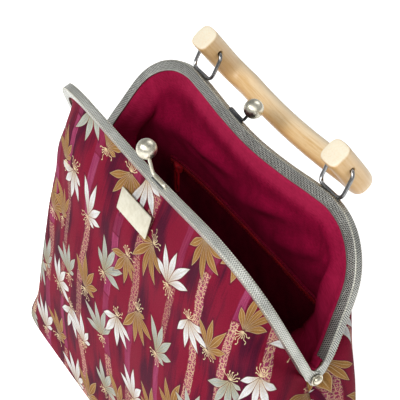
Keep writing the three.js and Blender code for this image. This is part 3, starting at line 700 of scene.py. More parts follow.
photoView = dict(place=(0.5242, -0.3103, 0.6764), azimuth=59.05, elevation=38.84, lens=118.47, sensor=36.0)
studio = dict(floor=0.92, floorGlow=0.85, floorHalf=3000.0, sky=0.07, shine=0.42, aim=(0, 0, 0.15), lamps=[
    dict(name="keySoft", azimuth=8, elevation=43, distance=1.5, size=(1.4, 0.5), power=19.5),
    dict(name="rimLight", azimuth=195, elevation=48, distance=1.5, size=(0.9, 0.9), power=5.0),
    dict(name="rightFill", azimuth=65, elevation=36, distance=1.6, size=(1.2, 1.2), power=6.0),
])


def setCamera(scene):
    camera = bpy.data.cameras.new("photoCamera")
    camera.lens = photoView["lens"]
    camera.sensor_width = photoView["sensor"]
    scene.camera = placeObject("photoCamera", camera)
    scene.camera.location = photoView["place"]
    tilt, turn = np.radians(90 - photoView["elevation"]), np.radians(photoView["azimuth"])
    scene.camera.rotation_euler = (tilt, 0, turn)


def setSky(scene):
    scene.world = bpy.data.worlds.new("studioSky")
    scene.world.use_nodes = True
    tree = scene.world.node_tree
    sky = tree.nodes["Background"]
    sky.inputs[0].default_value = (1, 1, 1, 1)
    ray = addNode(tree, "ShaderNodeLightPath").outputs["Is Glossy Ray"]
    strength = fade(tree, ray, 0.0, 1.0, studio["sky"], studio["shine"])  # metal sees a paler room
    tree.links.new(strength, sky.inputs[1])


def addLamp(lamp):
    light = bpy.data.lights.new(lamp["name"], "AREA")
    light.shape = "RECTANGLE"
    light.size, light.size_y = lamp["size"]
    light.energy = lamp["power"]
    holder = placeObject(lamp["name"], light)
    turn, tilt = np.radians(lamp["azimuth"]), np.radians(lamp["elevation"])
    away = Vector((np.sin(turn) * np.cos(tilt), -np.cos(turn) * np.cos(tilt), np.sin(tilt)))
    holder.location = Vector(studio["aim"]) + away * lamp["distance"]
    holder.rotation_euler = away.to_track_quat("Z", "Y").to_euler()


def addFloor():
    paper = newMaterial("floorPaper", {
        "Base Color": (*[studio["floor"]] * 3, 1), "Roughness": 0.9,
        "Emission Color": (1, 1, 1, 1), "Emission Strength": studio["floorGlow"]})[0]
    half = studio["floorHalf"]
    corners = [(-half, -half, 0), (half, -half, 0), (half, half, 0), (-half, half, 0)]
    floor = makePiece("floorPaper", corners, [(0, 1, 2, 3)], paper)


bpy.context.scene.view_settings.view_transform = "Standard"
setCamera(bpy.context.scene)
setSky(bpy.context.scene)
for lamp in studio["lamps"]:
    addLamp(lamp)
addFloor()
print("studio set")


# frame arms

hinge = dict(halfWidth=130.0, height=150.0)
channel = dict(width=5.4, depth=7.2, wall=0.9, corner=0.8, steps=300, sharp=35)
lug = dict(top=16.0, radius=4.4, arc=20.0, arcSteps=30, edgePoints=100, behind=0.12, behindFrom=(5, 10),
           layers=(0.0, 0.15, 0.85, 1.0), bevel=0.97)
arms = {
    # tarnish scales each arm's darkened pits: painted shade, lighter on the front arm and darker on the back
    # arm, for how each arm takes the light
    "front": dict(side=-1, lean=np.radians(22.0), lugInset=0.0, start=7.0, tarnish=0.76),
    "back": dict(side=1, lean=np.radians(31.2), lugInset=1.2, start=11.0, tarnish=1.15),
}
archRows = [(130, 0), (129.4, 14), (125.5, 32), (118.4, 57.4), (108.4, 71.1), (94.2, 80.5), (77.4, 84.5),
            (60, 83.5), (30, 80.2), (0, 78.6)]  # across, up the arm
archSteps = 40  # between two of its points
shoulder = archRows[3]  # the lugs' inset ends here
patina = dict(mouthSide=1.25, lugFace=0.8, lugRim=0.15)  # the side towards the mouth is darker


def armPoints(name, u, v, n):  # across, up the arm and out from the mouth
    arm = arms[name]
    sine, cosine = np.sin(arm["lean"]), np.cos(arm["lean"])
    u, v, n = np.broadcast_arrays(np.asarray(u, float), v, n)
    return np.stack([u, arm["side"] * (v * sine + n * cosine), hinge["height"] + v * cosine - n * sine], -1)


def armEdge(name):
    right = []
    for u, v in archRows:
        inset = arms[name]["lugInset"] * (1 - v / shoulder[1]) if u > shoulder[0] else 0
        right.append((u - inset, v))
    left = [(-u, v) for u, v in right[:-1]]
    points = splineThrough(left + right[::-1], [archSteps] * (2 * len(right) - 2))
    length = lengthAlong(points)
    return dict(points=points, length=length, tangent=unit(np.gradient(points, length, axis=0)))


edges = {name: armEdge(name) for name in arms}


def edgePlace(name, share, inset):
    edge = edges[name]
    place = np.asarray(share) * edge["length"][-1]
    point = [np.interp(place, edge["length"], edge["points"][:, k]) for k in (0, 1)]
    tangent = [np.interp(place, edge["length"], edge["tangent"][:, k]) for k in (0, 1)]
    return point[0] + inset * tangent[1], point[1] - inset * tangent[0]


def edgeHeight(name, u):
    points = edges[name]["points"]
    quarter = len(points) // 4
    top = points[quarter:-quarter]
    return np.interp(u, top[:, 0], top[:, 1])


def armShares(name, count, clear=1.0):  # places along an arm, clear of its lugs
    start = arms[name]["start"] / edges[name]["length"][-1] * clear
    return np.linspace(start, 1 - start, count)


def channelSection():  # depth and width of each point, and how far it is a rim or carries the lattice
    depth, width, wall, corner = (channel[key] for key in ("depth", "width", "wall", "corner"))

    def flip(rows):
        return [(x, width - y) for x, y in rows[::-1]]

    turns = np.radians(np.linspace(0, 90, 5))[1:-1]
    bend = [(corner * (1 - np.sin(t)), corner * (1 - np.cos(t))) for t in turns]
    flange = [(x, 0) for x in np.linspace(depth, corner, 6)]
    strip = [(0, y) for y in np.linspace(corner, width - corner, 6)]
    inner = [(depth, width - wall), (wall, width - wall), (wall, wall), (depth, wall)]
    outer = flange + bend + strip + flip(bend) + flip(flange)
    flangeRim, stripRim, innerRim = [1, 0, 0, 0, 0, 0.3], [0.3, 0, 0, 0, 0, 0.3], [0.5, 0, 0, 0.5]
    bendRim = [1] * len(bend)
    rim = np.array(flangeRim + bendRim + stripRim + bendRim + flangeRim[::-1] + innerRim, float)
    face = np.concatenate([np.ones(len(outer)), np.zeros(len(inner))])
    face[:len(flange)] = patina["mouthSide"]
    return np.array(outer + inner), rim, face * (rim < 0.5)


def lugMesh(name, sign):
    radius, arc = lug["radius"], lug["arc"]
    angles = np.radians(np.linspace(arc, -(180 + arc), lug["arcSteps"]))
    outline = [(0, lug["top"]), (channel["width"], lug["top"]), (channel["width"], radius)]
    outline += [(radius * np.cos(t), radius * np.sin(t)) for t in angles]
    outline += [(0, 2 * radius)]
    n, v = np.array(outline).T
    edge = edges[name]["points"][::-1][:lug["edgePoints"]]
    reach = np.interp(v, edge[:, 1], edge[:, 0]) - lug["behind"] * ease(v, *lug["behindFrom"])
    layers = []
    for depth in lug["layers"]:
        size = lug["bevel"] if depth in (0.0, 1.0) else 1.0
        layers.append(armPoints(name, sign * (reach - channel["wall"] * depth),
                                v.mean() + (v - v.mean()) * size, n.mean() + (n - n.mean()) * size))
    return np.concatenate(layers), tubeFaces(len(layers), len(outline))


def buildArm(name):
    section, rim, face = channelSection()
    shares = armShares(name, channel["steps"] + 1)
    rings = [armPoints(name, *edgePlace(name, s, section[:, 0]), section[:, 1]) for s in shares]
    around = lengthAlong(np.concatenate([section, section[:1]]))[:-1]
    along = shares * edges[name]["length"][-1]
    plans = [np.stack(np.broadcast_arrays(along[:, None], around[None]), -1).reshape(-1, 2)]
    rims = [np.tile(rim, len(rings))]
    # the pits carry each arm's share of painted shade
    faces = [np.tile(face, len(rings)) * arms[name]["tarnish"]]
    parts = [(np.concatenate(rings), tubeFaces(len(rings), len(section)))]
    for sign in (-1, 1):
        parts.append(lugMesh(name, sign))
        points = parts[-1][0]
        outside = np.arange(len(points)) < len(points) // len(lug["layers"])
        plans.append(points[:, 1:])
        rims.append(outside * patina["lugRim"])
        faces.append(outside * patina["lugFace"])
    layers = dict(rim=np.concatenate(rims), face=np.concatenate(faces))
    plan = np.concatenate(plans) * mm
    return makePiece(name + "Arm", *joinParts(*parts), pewterMat, plan, channel["sharp"], layers)


for name in arms:
    finishPiece(buildArm(name), "bag", "pewter_frame", "frame_" + name)
print("frame arms built")


# rows of beads, teeth and stitches along a path

def beadTree():
    tree = bpy.data.node_groups.new("beadRow", "GeometryNodeTree")
    sockets = tree.interface
    sockets.new_socket("Path", in_out="INPUT", socket_type="NodeSocketGeometry")
    for label, value in {"Spacing": 1.5, "Bead Length": 1, "Bead Width": 1, "Bead Height": 1}.items():
        sockets.new_socket(label, in_out="INPUT", socket_type="NodeSocketFloat").default_value = value * mm
    sockets.new_socket("Material", in_out="INPUT", socket_type="NodeSocketMaterial")
    sockets.new_socket("Beads", in_out="OUTPUT", socket_type="NodeSocketGeometry")
    given = tree.nodes.new("NodeGroupInput").outputs
    result = tree.nodes.new("NodeGroupOutput").inputs

    def add(kind, inputs=(), **settings):
        return addNode(tree, kind, inputs, **settings).outputs[0]

    curve = add("GeometryNodeMeshToCurve", {0: given["Path"]})
    even = add("GeometryNodeResampleCurve", {"Curve": curve, "Length": given["Spacing"]}, mode="LENGTH")
    bead = add("GeometryNodeMeshUVSphere", {"Segments": 8, "Rings": 5, "Radius": 0.5})
    turn = add("FunctionNodeAlignRotationToVector", {"Vector": add("GeometryNodeInputTangent")}, axis="X")
    size = pointOf(tree, given["Bead Length"], given["Bead Width"], given["Bead Height"])
    spots = add("GeometryNodeInstanceOnPoints",
                {"Points": even, "Instance": bead, "Rotation": turn, "Scale": size})
    real = add("GeometryNodeRealizeInstances", {0: spots})
    soft = add("GeometryNodeSetShadeSmooth", {0: real})
    paint = add("GeometryNodeSetMaterial", {"Geometry": soft, "Material": given["Material"]})
    tree.links.new(paint, result["Beads"])
    return tree


beadRow = beadTree()


def makeBeads(name, lines, material, sizes):
    points, steps = [], []
    for line in lines:
        first = len(points)
        points += (np.asarray(line) * mm).tolist()
        steps += [(first + i, first + i + 1) for i in range(len(line) - 1)]
    mesh = bpy.data.meshes.new(name + "Path")
    mesh.from_pydata(points, steps, [])
    carrier = placeObject(name + "Path", mesh)
    modifier = carrier.modifiers.new("beads", "NODES")
    modifier.node_group = beadRow
    wanted = {socketName(key): value * mm for key, value in sizes.items()}
    wanted["Material"] = material
    for item in beadRow.interface.items_tree:
        if item.in_out == "INPUT" and item.name in wanted:
            modifier[item.identifier] = wanted[item.name]
    made = bakedMesh(carrier)
    bpy.data.objects.remove(carrier)
    made.name = name
    return placeObject(name, made)


knurl = dict(inset=0.32, clear=1.2, steps=500,
             beads=dict(spacing=1.6, beadLength=0.95, beadWidth=0.70, beadHeight=0.70))
for name in arms:
    across, up = edgePlace(name, armShares(name, knurl["steps"], knurl["clear"]), knurl["inset"])
    lines = [armPoints(name, across, up, n) for n in (knurl["inset"], channel["width"] - knurl["inset"])]
    finishPiece(makeBeads(name + "Knurl", lines, beadMat, knurl["beads"]), "bag", "pewter_frame")
print("edge beads placed")


# cloth body

cloth = dict(
    thickness=1.5, face=4.2, inset=3.0, seamInset=7.0, start=10.0, seamStart=6.0, rollInset=2.6,
    rollStand=0.3, clear=0.3, lipPull=0.2, bodyPull=0.4, seamGap=0.15, archShare=0.6, pinchReach=20.0,
    columns=181, sideColumns=4, coarse=30, spans=[2, 3, 8, 8, 8, 10, 12, 14, 14, 9, 6, 3],
    looseTop=(1, 22), looseFoot=(2, 26), looseSeam=(0.01, 0.09), gatherReach=45.0,
    dip=11.0, dipSide=(0.92, 1), dipFoot=30.0,
    printShift=430.0,  # the back shows another stretch of the print
)
bodyRows = [  # height, half width, front, back, squareness, side pinch
    (150, 132, 48.5, 46, 3.6, 10), (126, 134.5, 53, 47, 3.8, 6), (98, 136.5, 56, 47, 4.2, 3),
    (64, 138, 57.5, 50, 6, 1.2), (28, 140, 57, 54, 11, 0.3), (10, 146.5, 58, 57, 15, 0),
    (2.3, 148, 57.5, 57, 18, 0), (0, 147, 56.5, 56, 18, 0)]
frontShare = 1 - 2 * cloth["sideColumns"] / cloth["coarse"]


def bodyLine(row, name, a):
    z, halfWidth, front, back, power, pinch = row
    reach = np.abs(a)
    ahead = np.arctan2(reach / frontShare, 1)
    beside = np.arctan2(1, (1 - reach) / (1 - frontShare))
    angle = np.where(reach < frontShare, ahead, beside)
    sine, cosine = np.sin(angle), np.cos(angle)
    far = (sine ** power + np.abs(cosine) ** power) ** (-1 / power)
    y = (front if name == "front" else back) * far * cosine
    pinched = pinch * np.exp(-(y / cloth["pinchReach"]) ** 2)
    x = halfWidth * far * sine - np.where(reach > frontShare / 2, pinched, 0)
    y = np.maximum(y, cloth["seamGap"])
    return np.stack([np.sign(a) * x, arms[name]["side"] * y, np.full_like(a, z)], -1)


def clothControl(name, a):
    reach = np.abs(a)
    length = edges[name]["length"][-1]
    last = 1 - 2 / cloth["coarse"]
    toSeam = np.clip((reach - last) / (1 - last), 0, 1)
    sideEnd = 1 - 2 * cloth["start"] / length
    seamEnd = 1 - 2 * cloth["seamStart"] / length
    side = cloth["archShare"] + (sideEnd - cloth["archShare"]) * (reach - frontShare) / (last - frontShare)
    half = np.where(reach < frontShare, cloth["archShare"] * reach / frontShare, side)
    half = np.where(reach > last, sideEnd + (seamEnd - sideEnd) * toSeam, half)
    share = 0.5 + 0.5 * np.sign(a) * half

    def lip(inset, n):
        return armPoints(name, *edgePlace(name, share, inset), n)

    tuck = cloth["inset"] + (cloth["seamInset"] - cloth["inset"]) * toSeam
    rows = [lip(tuck, cloth["face"]), lip(channel["depth"] + cloth["clear"], cloth["face"]),
            lip(channel["depth"] + cloth["rollInset"], cloth["face"] + cloth["rollStand"])]
    inwards = lip(1, 0) - lip(0, 0)
    normal = armPoints(name, 0, 0, 1) - armPoints(name, 0, 0, 0)
    begin, end = rows[2], bodyLine(bodyRows[0], name, a)
    span = np.linalg.norm(end - begin, axis=-1, keepdims=True)
    first = begin + inwards * cloth["lipPull"] * span + normal * cloth["lipPull"] * span
    second = end + np.array([0, 0, 1]) * cloth["bodyPull"] * span
    for t in (1 / 3, 2 / 3):
        near = (1 - t) ** 3 * begin + 3 * t * (1 - t) ** 2 * first
        rows.append(near + 3 * t * t * (1 - t) * second + t ** 3 * end)
    seam = arms[name]["side"] * cloth["seamGap"]
    for row in rows:
        row[:, 1] += (seam - row[:, 1]) * toSeam
    return np.array(rows + [bodyLine(row, name, a) for row in bodyRows])


def gridNormals(points, side):
    across = np.gradient(points, axis=1)
    down = np.gradient(points, axis=0)
    normals = unit(np.cross(across, down) * side)
    for _ in range(2):
        normals[:, 1:-1] = normals[:, 1:-1] + 0.5 * (normals[:, 2:] + normals[:, :-2])
        normals[1:-1] = normals[1:-1] + 0.5 * (normals[2:] + normals[:-2])
        normals = unit(normals)
    return normals


def ripple(place, waves):  # soft uneven waves along a line
    return sum(size * np.sin(2 * np.pi * place / length + phase) for length, size, phase in waves)


def foldField(u, v, folds):
    moved = np.zeros_like(u)
    for across, height, tilt, halfLength, halfWidth, depth in folds:
        sine, cosine = np.sin(np.radians(tilt)), np.cos(np.radians(tilt))
        along = (u - across) * sine + (v - height) * cosine
        aside = (u - across) * cosine - (v - height) * sine
        moved += depth * np.exp(-(aside / halfWidth) ** 2 - (along / halfLength) ** 4)
    return moved


gathers = [(23.0, 0.42, 0.4), (37.0, 0.5, 1.9), (61.0, 0.4, 4.1), (14.5, 0.2, 2.7)]  # length, size, phase
panelFolds = {  # across, height, tilt, half length, half width, depth
    "front": [
        (118, 120, -12, 46, 9, 1.6), (104, 108, -16, 40, 8, -1.5), (-118, 120, 12, 46, 9, 1.6),
        (-104, 108, 16, 40, 8, -1.5), (60, 90, 8, 60, 16, 1.2), (-52, 96, -6, 64, 18, 1.1),
        (6, 70, 3, 50, 15, -1.2), (92, 50, -9, 36, 12, -1.0), (-90, 46, 7, 36, 12, -1.0)],
    "back": [
        (116, 118, -14, 46, 9, 1.6), (102, 104, -18, 40, 8, -1.5), (-114, 122, 13, 46, 9, 1.6),
        (-100, 106, 17, 40, 8, -1.5), (48, 84, 6, 60, 16, -1.4), (-40, 92, -8, 64, 18, 1.3),
        (-4, 64, 2, 52, 15, 1.1), (84, 52, -7, 40, 12, 1.0)],
}
liningFolds = {
    "front": [
        (70, 150, 20, 40, 7, 2.0), (30, 140, -12, 50, 9, 2.4), (-20, 146, 16, 46, 8, 2.2),
        (-66, 140, -18, 44, 8, 2.4), (100, 120, -20, 40, 8, 2.6), (-100, 120, 18, 40, 8, 2.6),
        (10, 90, 12, 40, 9, 2.0)],
    "back": [
        (-62, 177, 82, 52, 7, 4.0), (-50, 162, 96, 40, 4, 1.8), (-24, 190, 66, 30, 5, 2.0),
        (36, 189, 63, 50, 6, 4.0), (54, 171, 60, 40, 5, 3.0), (86, 178, 40, 26, 5, 2.4),
        (100, 136, 14, 46, 8, 2.6), (86, 120, -10, 40, 7, -1.8), (-96, 140, -16, 40, 8, 2.4),
        (20, 96, 10, 30, 9, 2.2), (-40, 92, -12, 30, 9, 2.0)],
}


def clothPlan(points):  # the flat cut: width round the girth and height up the cloth, in millimetres
    depth = np.abs(points[..., 1])
    z = points[..., 2]
    middle = points[:, points.shape[1] // 2]
    rise = middle[::-1, 2]
    frontDepth = np.interp(z, rise, np.abs(middle[::-1, 1]))
    u = points[..., 0] + np.sign(points[..., 0]) * np.maximum(frontDepth - depth, 0)
    up = lengthAlong(middle[::-1])
    v = np.interp(z, rise, up) + np.maximum(z - rise[-1], 0)
    return u, v


def flatPlan(u, v):  # the same as UV rows, in metres
    return np.stack(np.broadcast_arrays(u, v), -1).reshape(-1, 2) * mm


def shellPiece(name, outer, inner, plan, material, layers=None):
    points = np.concatenate([outer.reshape(-1, 3), inner.reshape(-1, 3)])
    plans = np.concatenate([plan, plan])
    return makePiece(name, points, shellFaces(*outer.shape[:2]), material, plans, layers=layers)


def wallShape(name):  # the smooth wall, and how far its folds stand out from it
    a = np.linspace(-1, 1, cloth["columns"])
    points = splineThrough(clothControl(name, a), cloth["spans"])
    u, v = clothPlan(points)
    lipRow = cloth["spans"][0] + cloth["spans"][1]
    fromLip = np.maximum(v[lipRow][None] - v, 0)
    fromSeam = 1 - np.abs(a)[None]
    loose = ease(fromLip, *cloth["looseTop"]) * ease(v, *cloth["looseFoot"])
    loose = loose * ease(fromSeam, *cloth["looseSeam"])
    folds = ripple(u, gathers) * np.exp(-fromLip / cloth["gatherReach"]) + foldField(u, v, panelFolds[name])
    normals = gridNormals(points, arms[name]["side"])
    return dict(a=a, points=points, normals=normals, u=u, v=v, fromLip=fromLip, shift=folds * loose)


def buildPanel(name, wall):
    side, normals, u, v = arms[name]["side"], wall["normals"], wall["u"], wall["v"]
    outer = wall["points"] + normals * wall["shift"][..., None]
    inner = outer - normals * cloth["thickness"]
    dip = cloth["dip"] * ease(np.abs(wall["a"])[None], *cloth["dipSide"])
    dip = dip * (1 - ease(wall["fromLip"], 0, cloth["dipFoot"]))
    for layer in (outer, inner):
        layer[:, [0, -1], 1] = side * cloth["seamGap"]
        layer[..., 2] -= dip
    offset = 0.0 if name == "front" else cloth["printShift"]
    panel = shellPiece(name + "Panel", outer, inner, flatPlan(offset - side * u, v), printedMat)
    finishPiece(panel, "bag", "printed_cloth", name + "_panel")
    return inner


# lining
# two numbers say where an effect comes in or goes out, down from the frame or round from the middle

lining = dict(
    # faded: down from the frame, where the band of painted light fades out; paintedLitLess: how much weaker
    # it is on the sides
    thickness=1.2, depth=1.8, lap=0.3, faded=(1.5, 9.0), paintedLitLess=0.5,
    roll=3.4, rollWidth=11.0, rollDrop=0.7, rollTail=5.0, rollTop=(0.5, 3), rollSeam=(0.0, 0.08),
    slack=1.6, slackBelow=45.0, slackHalf=11.0, slackSway=(8.0, 38.0), slackSeam=(0.2, 0.4),
    slackVary=(0.6, 0.4, 31.0, 2.0),  # least, more, step and phase
    sideWidth=5.5, sideBand=(0.42, 0.62), hingeWidth=20.0, hingeBand=(0.70, 0.95),
    leftShare=0.2, leftBand=(0.3, 0.5), leftEnd=(0.85, 0.97),
    ledgeTop=(0, 9), ledgePower=0.7, ledgeFoot=(20, 75), ledgeRise=0.3,
    flare=5.0, flareSide=(0.93, 0.99), flareFoot=(0, 7),
    looseTop=(10, 30), looseFoot=(4, 26), looseSeam=(0.02, 0.14), puff=0.6, deepest=-1.2,
    zipHeight=145.0, zipBand=(8, 22), zipStiff=0.8,
)


def rolledEdge(u, fromLip, fromSeam):  # the thick edge under the frame, and a loose wave below it
    width = lining["rollWidth"]
    roll = lining["roll"] * ease(fromLip + 1, 0, width)
    roll = roll * (1 - lining["rollDrop"] * ease(fromLip, width, lining["rollTail"] * width))
    sway, swayStep = lining["slackSway"]
    least, more, step, phase = lining["slackVary"]
    below = (fromLip - lining["slackBelow"] - sway * np.sin(u / swayStep)) / lining["slackHalf"]
    wave = lining["slack"] * np.exp(-below ** 2) * (least + more * np.sin(u / step + phase))
    roll = roll + wave * ease(fromSeam, *lining["slackSeam"])
    return roll * ease(fromLip, *lining["rollTop"]) * ease(fromSeam, *lining["rollSeam"])


def sideLedge(a, fromLip):  # the sides fold in beside the legs, less on the left
    reach = np.abs(a)[None]
    ledge = lining["sideWidth"] * ease(reach, *lining["sideBand"])
    ledge = ledge + lining["hingeWidth"] * ease(reach, *lining["hingeBand"])
    left = ease(-a, *lining["leftBand"]) * (1 - ease(-a, *lining["leftEnd"]))
    ledge = ledge * (1 + (lining["leftShare"] - 1) * left)
    ledge = ledge * ease(fromLip, *lining["ledgeTop"]) ** lining["ledgePower"]
    ledge = ledge * (1 - ease(fromLip, *lining["ledgeFoot"]))
    flare = lining["flare"] * ease(reach, *lining["flareSide"]) * (1 - ease(fromLip, *lining["flareFoot"]))
    return ledge - flare  # the corners reach out to the lugs


def buildLining(name, wall):
    end = len(wall["points"]) - cloth["spans"][-1]
    points, normals, u, v, fromLip, shift = (
        wall[key][:end] for key in ("points", "normals", "u", "v", "fromLip", "shift"))
    a = wall["a"]
    fromSeam = 1 - np.abs(a)[None]
    loose = ease(fromLip, *lining["looseTop"]) * ease(v, *lining["looseFoot"])
    loose = loose * ease(fromSeam, *lining["looseSeam"])
    nearZip = 1 - ease(np.abs(v - lining["zipHeight"]), *lining["zipBand"]) if name == "back" else 0
    crease = foldField(u, v, liningFolds[name]) * loose * (1 - lining["zipStiff"] * nearZip)
    depth = lining["depth"] + rolledEdge(u, fromLip, fromSeam)
    depth = depth + np.maximum(crease, lining["deepest"]) + lining["puff"] * loose - np.minimum(shift, 0)
    ledge = sideLedge(a, fromLip)
    face = points - normals * depth[..., None]
    face[..., 0] -= ledge * np.sign(a)
    face[..., 2] += np.maximum(ledge, 0) * lining["ledgeRise"]
    back = face - normals * lining["thickness"]
    for layer in (face, back):
        layer[:, [0, -1], 1] = -arms[name]["side"] * lining["lap"]
    # painted light: 1 on the band just under the frame, fading out below it and weaker on the sides
    onSides = ease(np.abs(a)[None], *lining["sideBand"])
    rolled = (1 - ease(fromLip, *lining["faded"])) * (1 - lining["paintedLitLess"] * onSides)
    layers = dict(rolled=np.tile(rolled.ravel(), 2))
    piece = shellPiece(name + "Lining", face, back, flatPlan(u, v), liningMat, layers)
    finishPiece(piece, "bag", "lining_cloth", name + "_lining")
    return back


panelInner, liningInner = {}, {}
for name in arms:
    wall = wallShape(name)
    panelInner[name] = buildPanel(name, wall)
    liningInner[name] = buildLining(name, wall)
print("cloth walls built")


# floor of the bag

base = dict(lap=0.6, halfDepth=55.0, sagSpan=150.0, rows=40, cloth=dict(low=0.0, thickness=2.0, sag=0.0),
            lining=dict(low=2.4, thickness=1.2, sag=0.8))


def buildFloor(name, walls, sizes, material, slot, node):
    front, back = (walls[side][-1][None, 1:-1] for side in ("front", "back"))
    share = np.linspace(0, 1, base["rows"])[:, None, None]
    flat = front * (1 - share) + back * share
    flat[..., :2] *= 1 + base["lap"] / base["halfDepth"]
    x, y = flat[..., 0], flat[..., 1]
    dip = sizes["sag"] * np.cos(np.pi * x / base["sagSpan"]) ** 2 * np.sin(np.pi * share[..., 0])
    under, over = flat.copy(), flat.copy()
    under[..., 2] = sizes["low"] + np.minimum(dip, 0)
    over[..., 2] = sizes["low"] + sizes["thickness"] + dip
    piece = shellPiece(name, under, over, flatPlan(x, y), material)
    finishPiece(piece, "bag", slot, node)


buildFloor("baseCloth", panelInner, base["cloth"], printedMat, "printed_cloth", "base_panel")
buildFloor("baseLining", liningInner, base["lining"], liningMat, "lining_cloth", "base_lining")
print("floor built")


# rivets

rivet = dict(dome=2.6, height=2.8, rimHeight=0.9, domeRings=10, sides=40, sharp=40,
             collar=[(2.65, 0.35), (3.05, 0.35), (3.15, 1.1), (3.4, 1.25), (3.75, 1.0), (3.8, 0.3)],
             shank=[(1.3, 0.3), (1.3, -2.4)],
             tail=[(2.6, -2.4), (2.6, -3.2), (2.3, -3.4), (0.1, -3.4)])  # radius, and out from the hinge


def lathe(profile, sides):
    angle = ringAngles(sides)
    rings = [np.stack([np.full(sides, h), r * np.cos(angle), r * np.sin(angle)], -1) for r, h in profile]
    return np.concatenate(rings), tubeFaces(len(profile), sides)


def buildRivet(name, sign, node):
    turns = np.radians(np.linspace(88, 0, rivet["domeRings"]))
    rise = rivet["height"] - rivet["rimHeight"]
    dome = [(rivet["dome"] * np.cos(t), rivet["rimHeight"] + rise * np.sin(t)) for t in turns]
    points, faces = lathe(dome + rivet["collar"] + rivet["shank"] + rivet["tail"], rivet["sides"])
    points[:, 0] = sign * (points[:, 0] + hinge["halfWidth"])
    points[:, 2] += hinge["height"]
    piece = makePiece(name, points, faces, rivetMat, sharp=rivet["sharp"])
    finishPiece(piece, "bag", "pale_brass", node)


buildRivet("rivetLeft", -1, "hinge_rivet_left")
buildRivet("rivetRight", 1, "hinge_rivet_right")


# kiss-lock clasp

clasp = dict(
    # solder: the thickness of the bar of painted shadow laid under each clasp wire
    ball=6.05, wire=1.0, solder=0.65, sink=2.0, rounding=(1.2, 3.0), lift=1.5, aside=-0.7, seamLift=0.25,
    wireSteps=60, wireSides=14, seamSteps=30, ballRings=32, ballSides=48, sharp=50,
    # darkWire: the back wire takes the dark metal as painted shade, as it is seen from below; the front wire
    # stays pale brass
    rows={"front": dict(foot=22.0, bend=9.2, ball=(2.4, 93.2, -3.0), seamAside=1.35, darkWire=False),
          "back": dict(foot=-30.0, bend=-15.7, ball=(-6.5, 93.2, -4.0), seamAside=0.0, darkWire=True)},
)


def ballMesh(centre, pole):  # turned about its stem
    guide = unit(np.cross(pole, [1.0, 0, 0.2]))
    other = np.cross(pole, guide)
    angle = ringAngles(clasp["ballSides"])
    circle = np.cos(angle)[:, None] * guide + np.sin(angle)[:, None] * other
    turns = np.radians(np.linspace(1, 179, clasp["ballRings"]))
    rings = [centre + clasp["ball"] * (np.sin(polar) * circle - np.cos(polar) * pole) for polar in turns]
    return np.concatenate(rings), tubeFaces(len(rings), clasp["ballSides"])


def buildClasp(name, foot, bend, ball, seamAside, darkWire):
    middle = channel["width"] / 2 + clasp["aside"]
    corners = [armPoints(name, foot, edgeHeight(name, foot) - clasp["sink"], middle),
               armPoints(name, foot, edgeHeight(name, foot) + clasp["lift"], middle),
               armPoints(name, bend, edgeHeight(name, bend) + clasp["lift"], middle), armPoints(name, *ball)]
    path = evenly(roundedPath(corners, clasp["rounding"]), clasp["wireSteps"])
    across = np.linspace(foot, bend, clasp["seamSteps"])
    under = armPoints(name, across, edgeHeight(name, across) + clasp["seamLift"], middle + seamAside)
    sides = clasp["wireSides"]
    # a thin dark bar of painted shadow along the wire's foot
    seam = wirePoints(under, clasp["solder"], sides), tubeFaces(len(under), sides)
    wire = wirePoints(path, clasp["wire"], sides), tubeFaces(len(path), sides)
    head = ballMesh(corners[3], unit(corners[3] - corners[2]))
    piece = makePiece(name + "Clasp", *joinParts(seam, wire, head), brassMat, sharp=clasp["sharp"])
    # the painted shadow bar, and the back wire, take the dark metal
    piece.data.materials.append(paintedShadowMat)
    darkPoints = len(seam[0]) + (len(wire[0]) if darkWire else 0)
    dark = np.array([max(p.vertices) < darkPoints for p in piece.data.polygons], np.int32)
    piece.data.polygons.foreach_set("material_index", dark)
    finishPiece(piece, "bag", "pale_brass", "clasp_" + name)


for name, row in clasp["rows"].items():
    buildClasp(name, **row)
print("rivets and clasp built")


# rings and wooden handle

ring = dict(centre=69.0, halfSpan=10.4, corner=5.0, wire=1.2, foot=(85.0, 3.4), cornerSteps=14, steps=120,
            sides=16)
handle = dict(
    pivot=(55.2, 237.0), drop=np.radians(55.0), tip=12.0, reach=29.0, bow=2.4, waist=0.06, corner=17.0,
    across=8.0, through=7.8, power=2.6, endPower=3.4, endShare=(0.03, 0.2), chamfer=0.9, girth=7.5,
    hole=1.9, holeHalf=16.0, holeSides=24, steps=190, bendSteps=40, sides=44, sharp=38,
)


def buildRings():
    foot = armPoints("back", 0, *ring["foot"])
    top = np.array([0, *handle["pivot"]])
    span, count = ring["halfSpan"], ring["steps"]
    loops = []
    for sign in (-1, 1):
        corners = [(end + np.array([sign * ring["centre"] + x, 0, 0])) for x, end in (
            (0, foot), (span, foot), (span, top), (-span, top), (-span, foot), (0, foot))]
        path = evenly(roundedPath(corners, [ring["corner"]] * 4, ring["cornerSteps"]), count + 1)[:-1]
        wire = wirePoints(path, ring["wire"], ring["sides"], closed=True)
        loops.append((wire, tubeFaces(count, ring["sides"], closed=True)))
    piece = makePiece("handleRings", *joinParts(*loops), ringMat)
    finishPiece(piece, "bag", "pewter_frame")


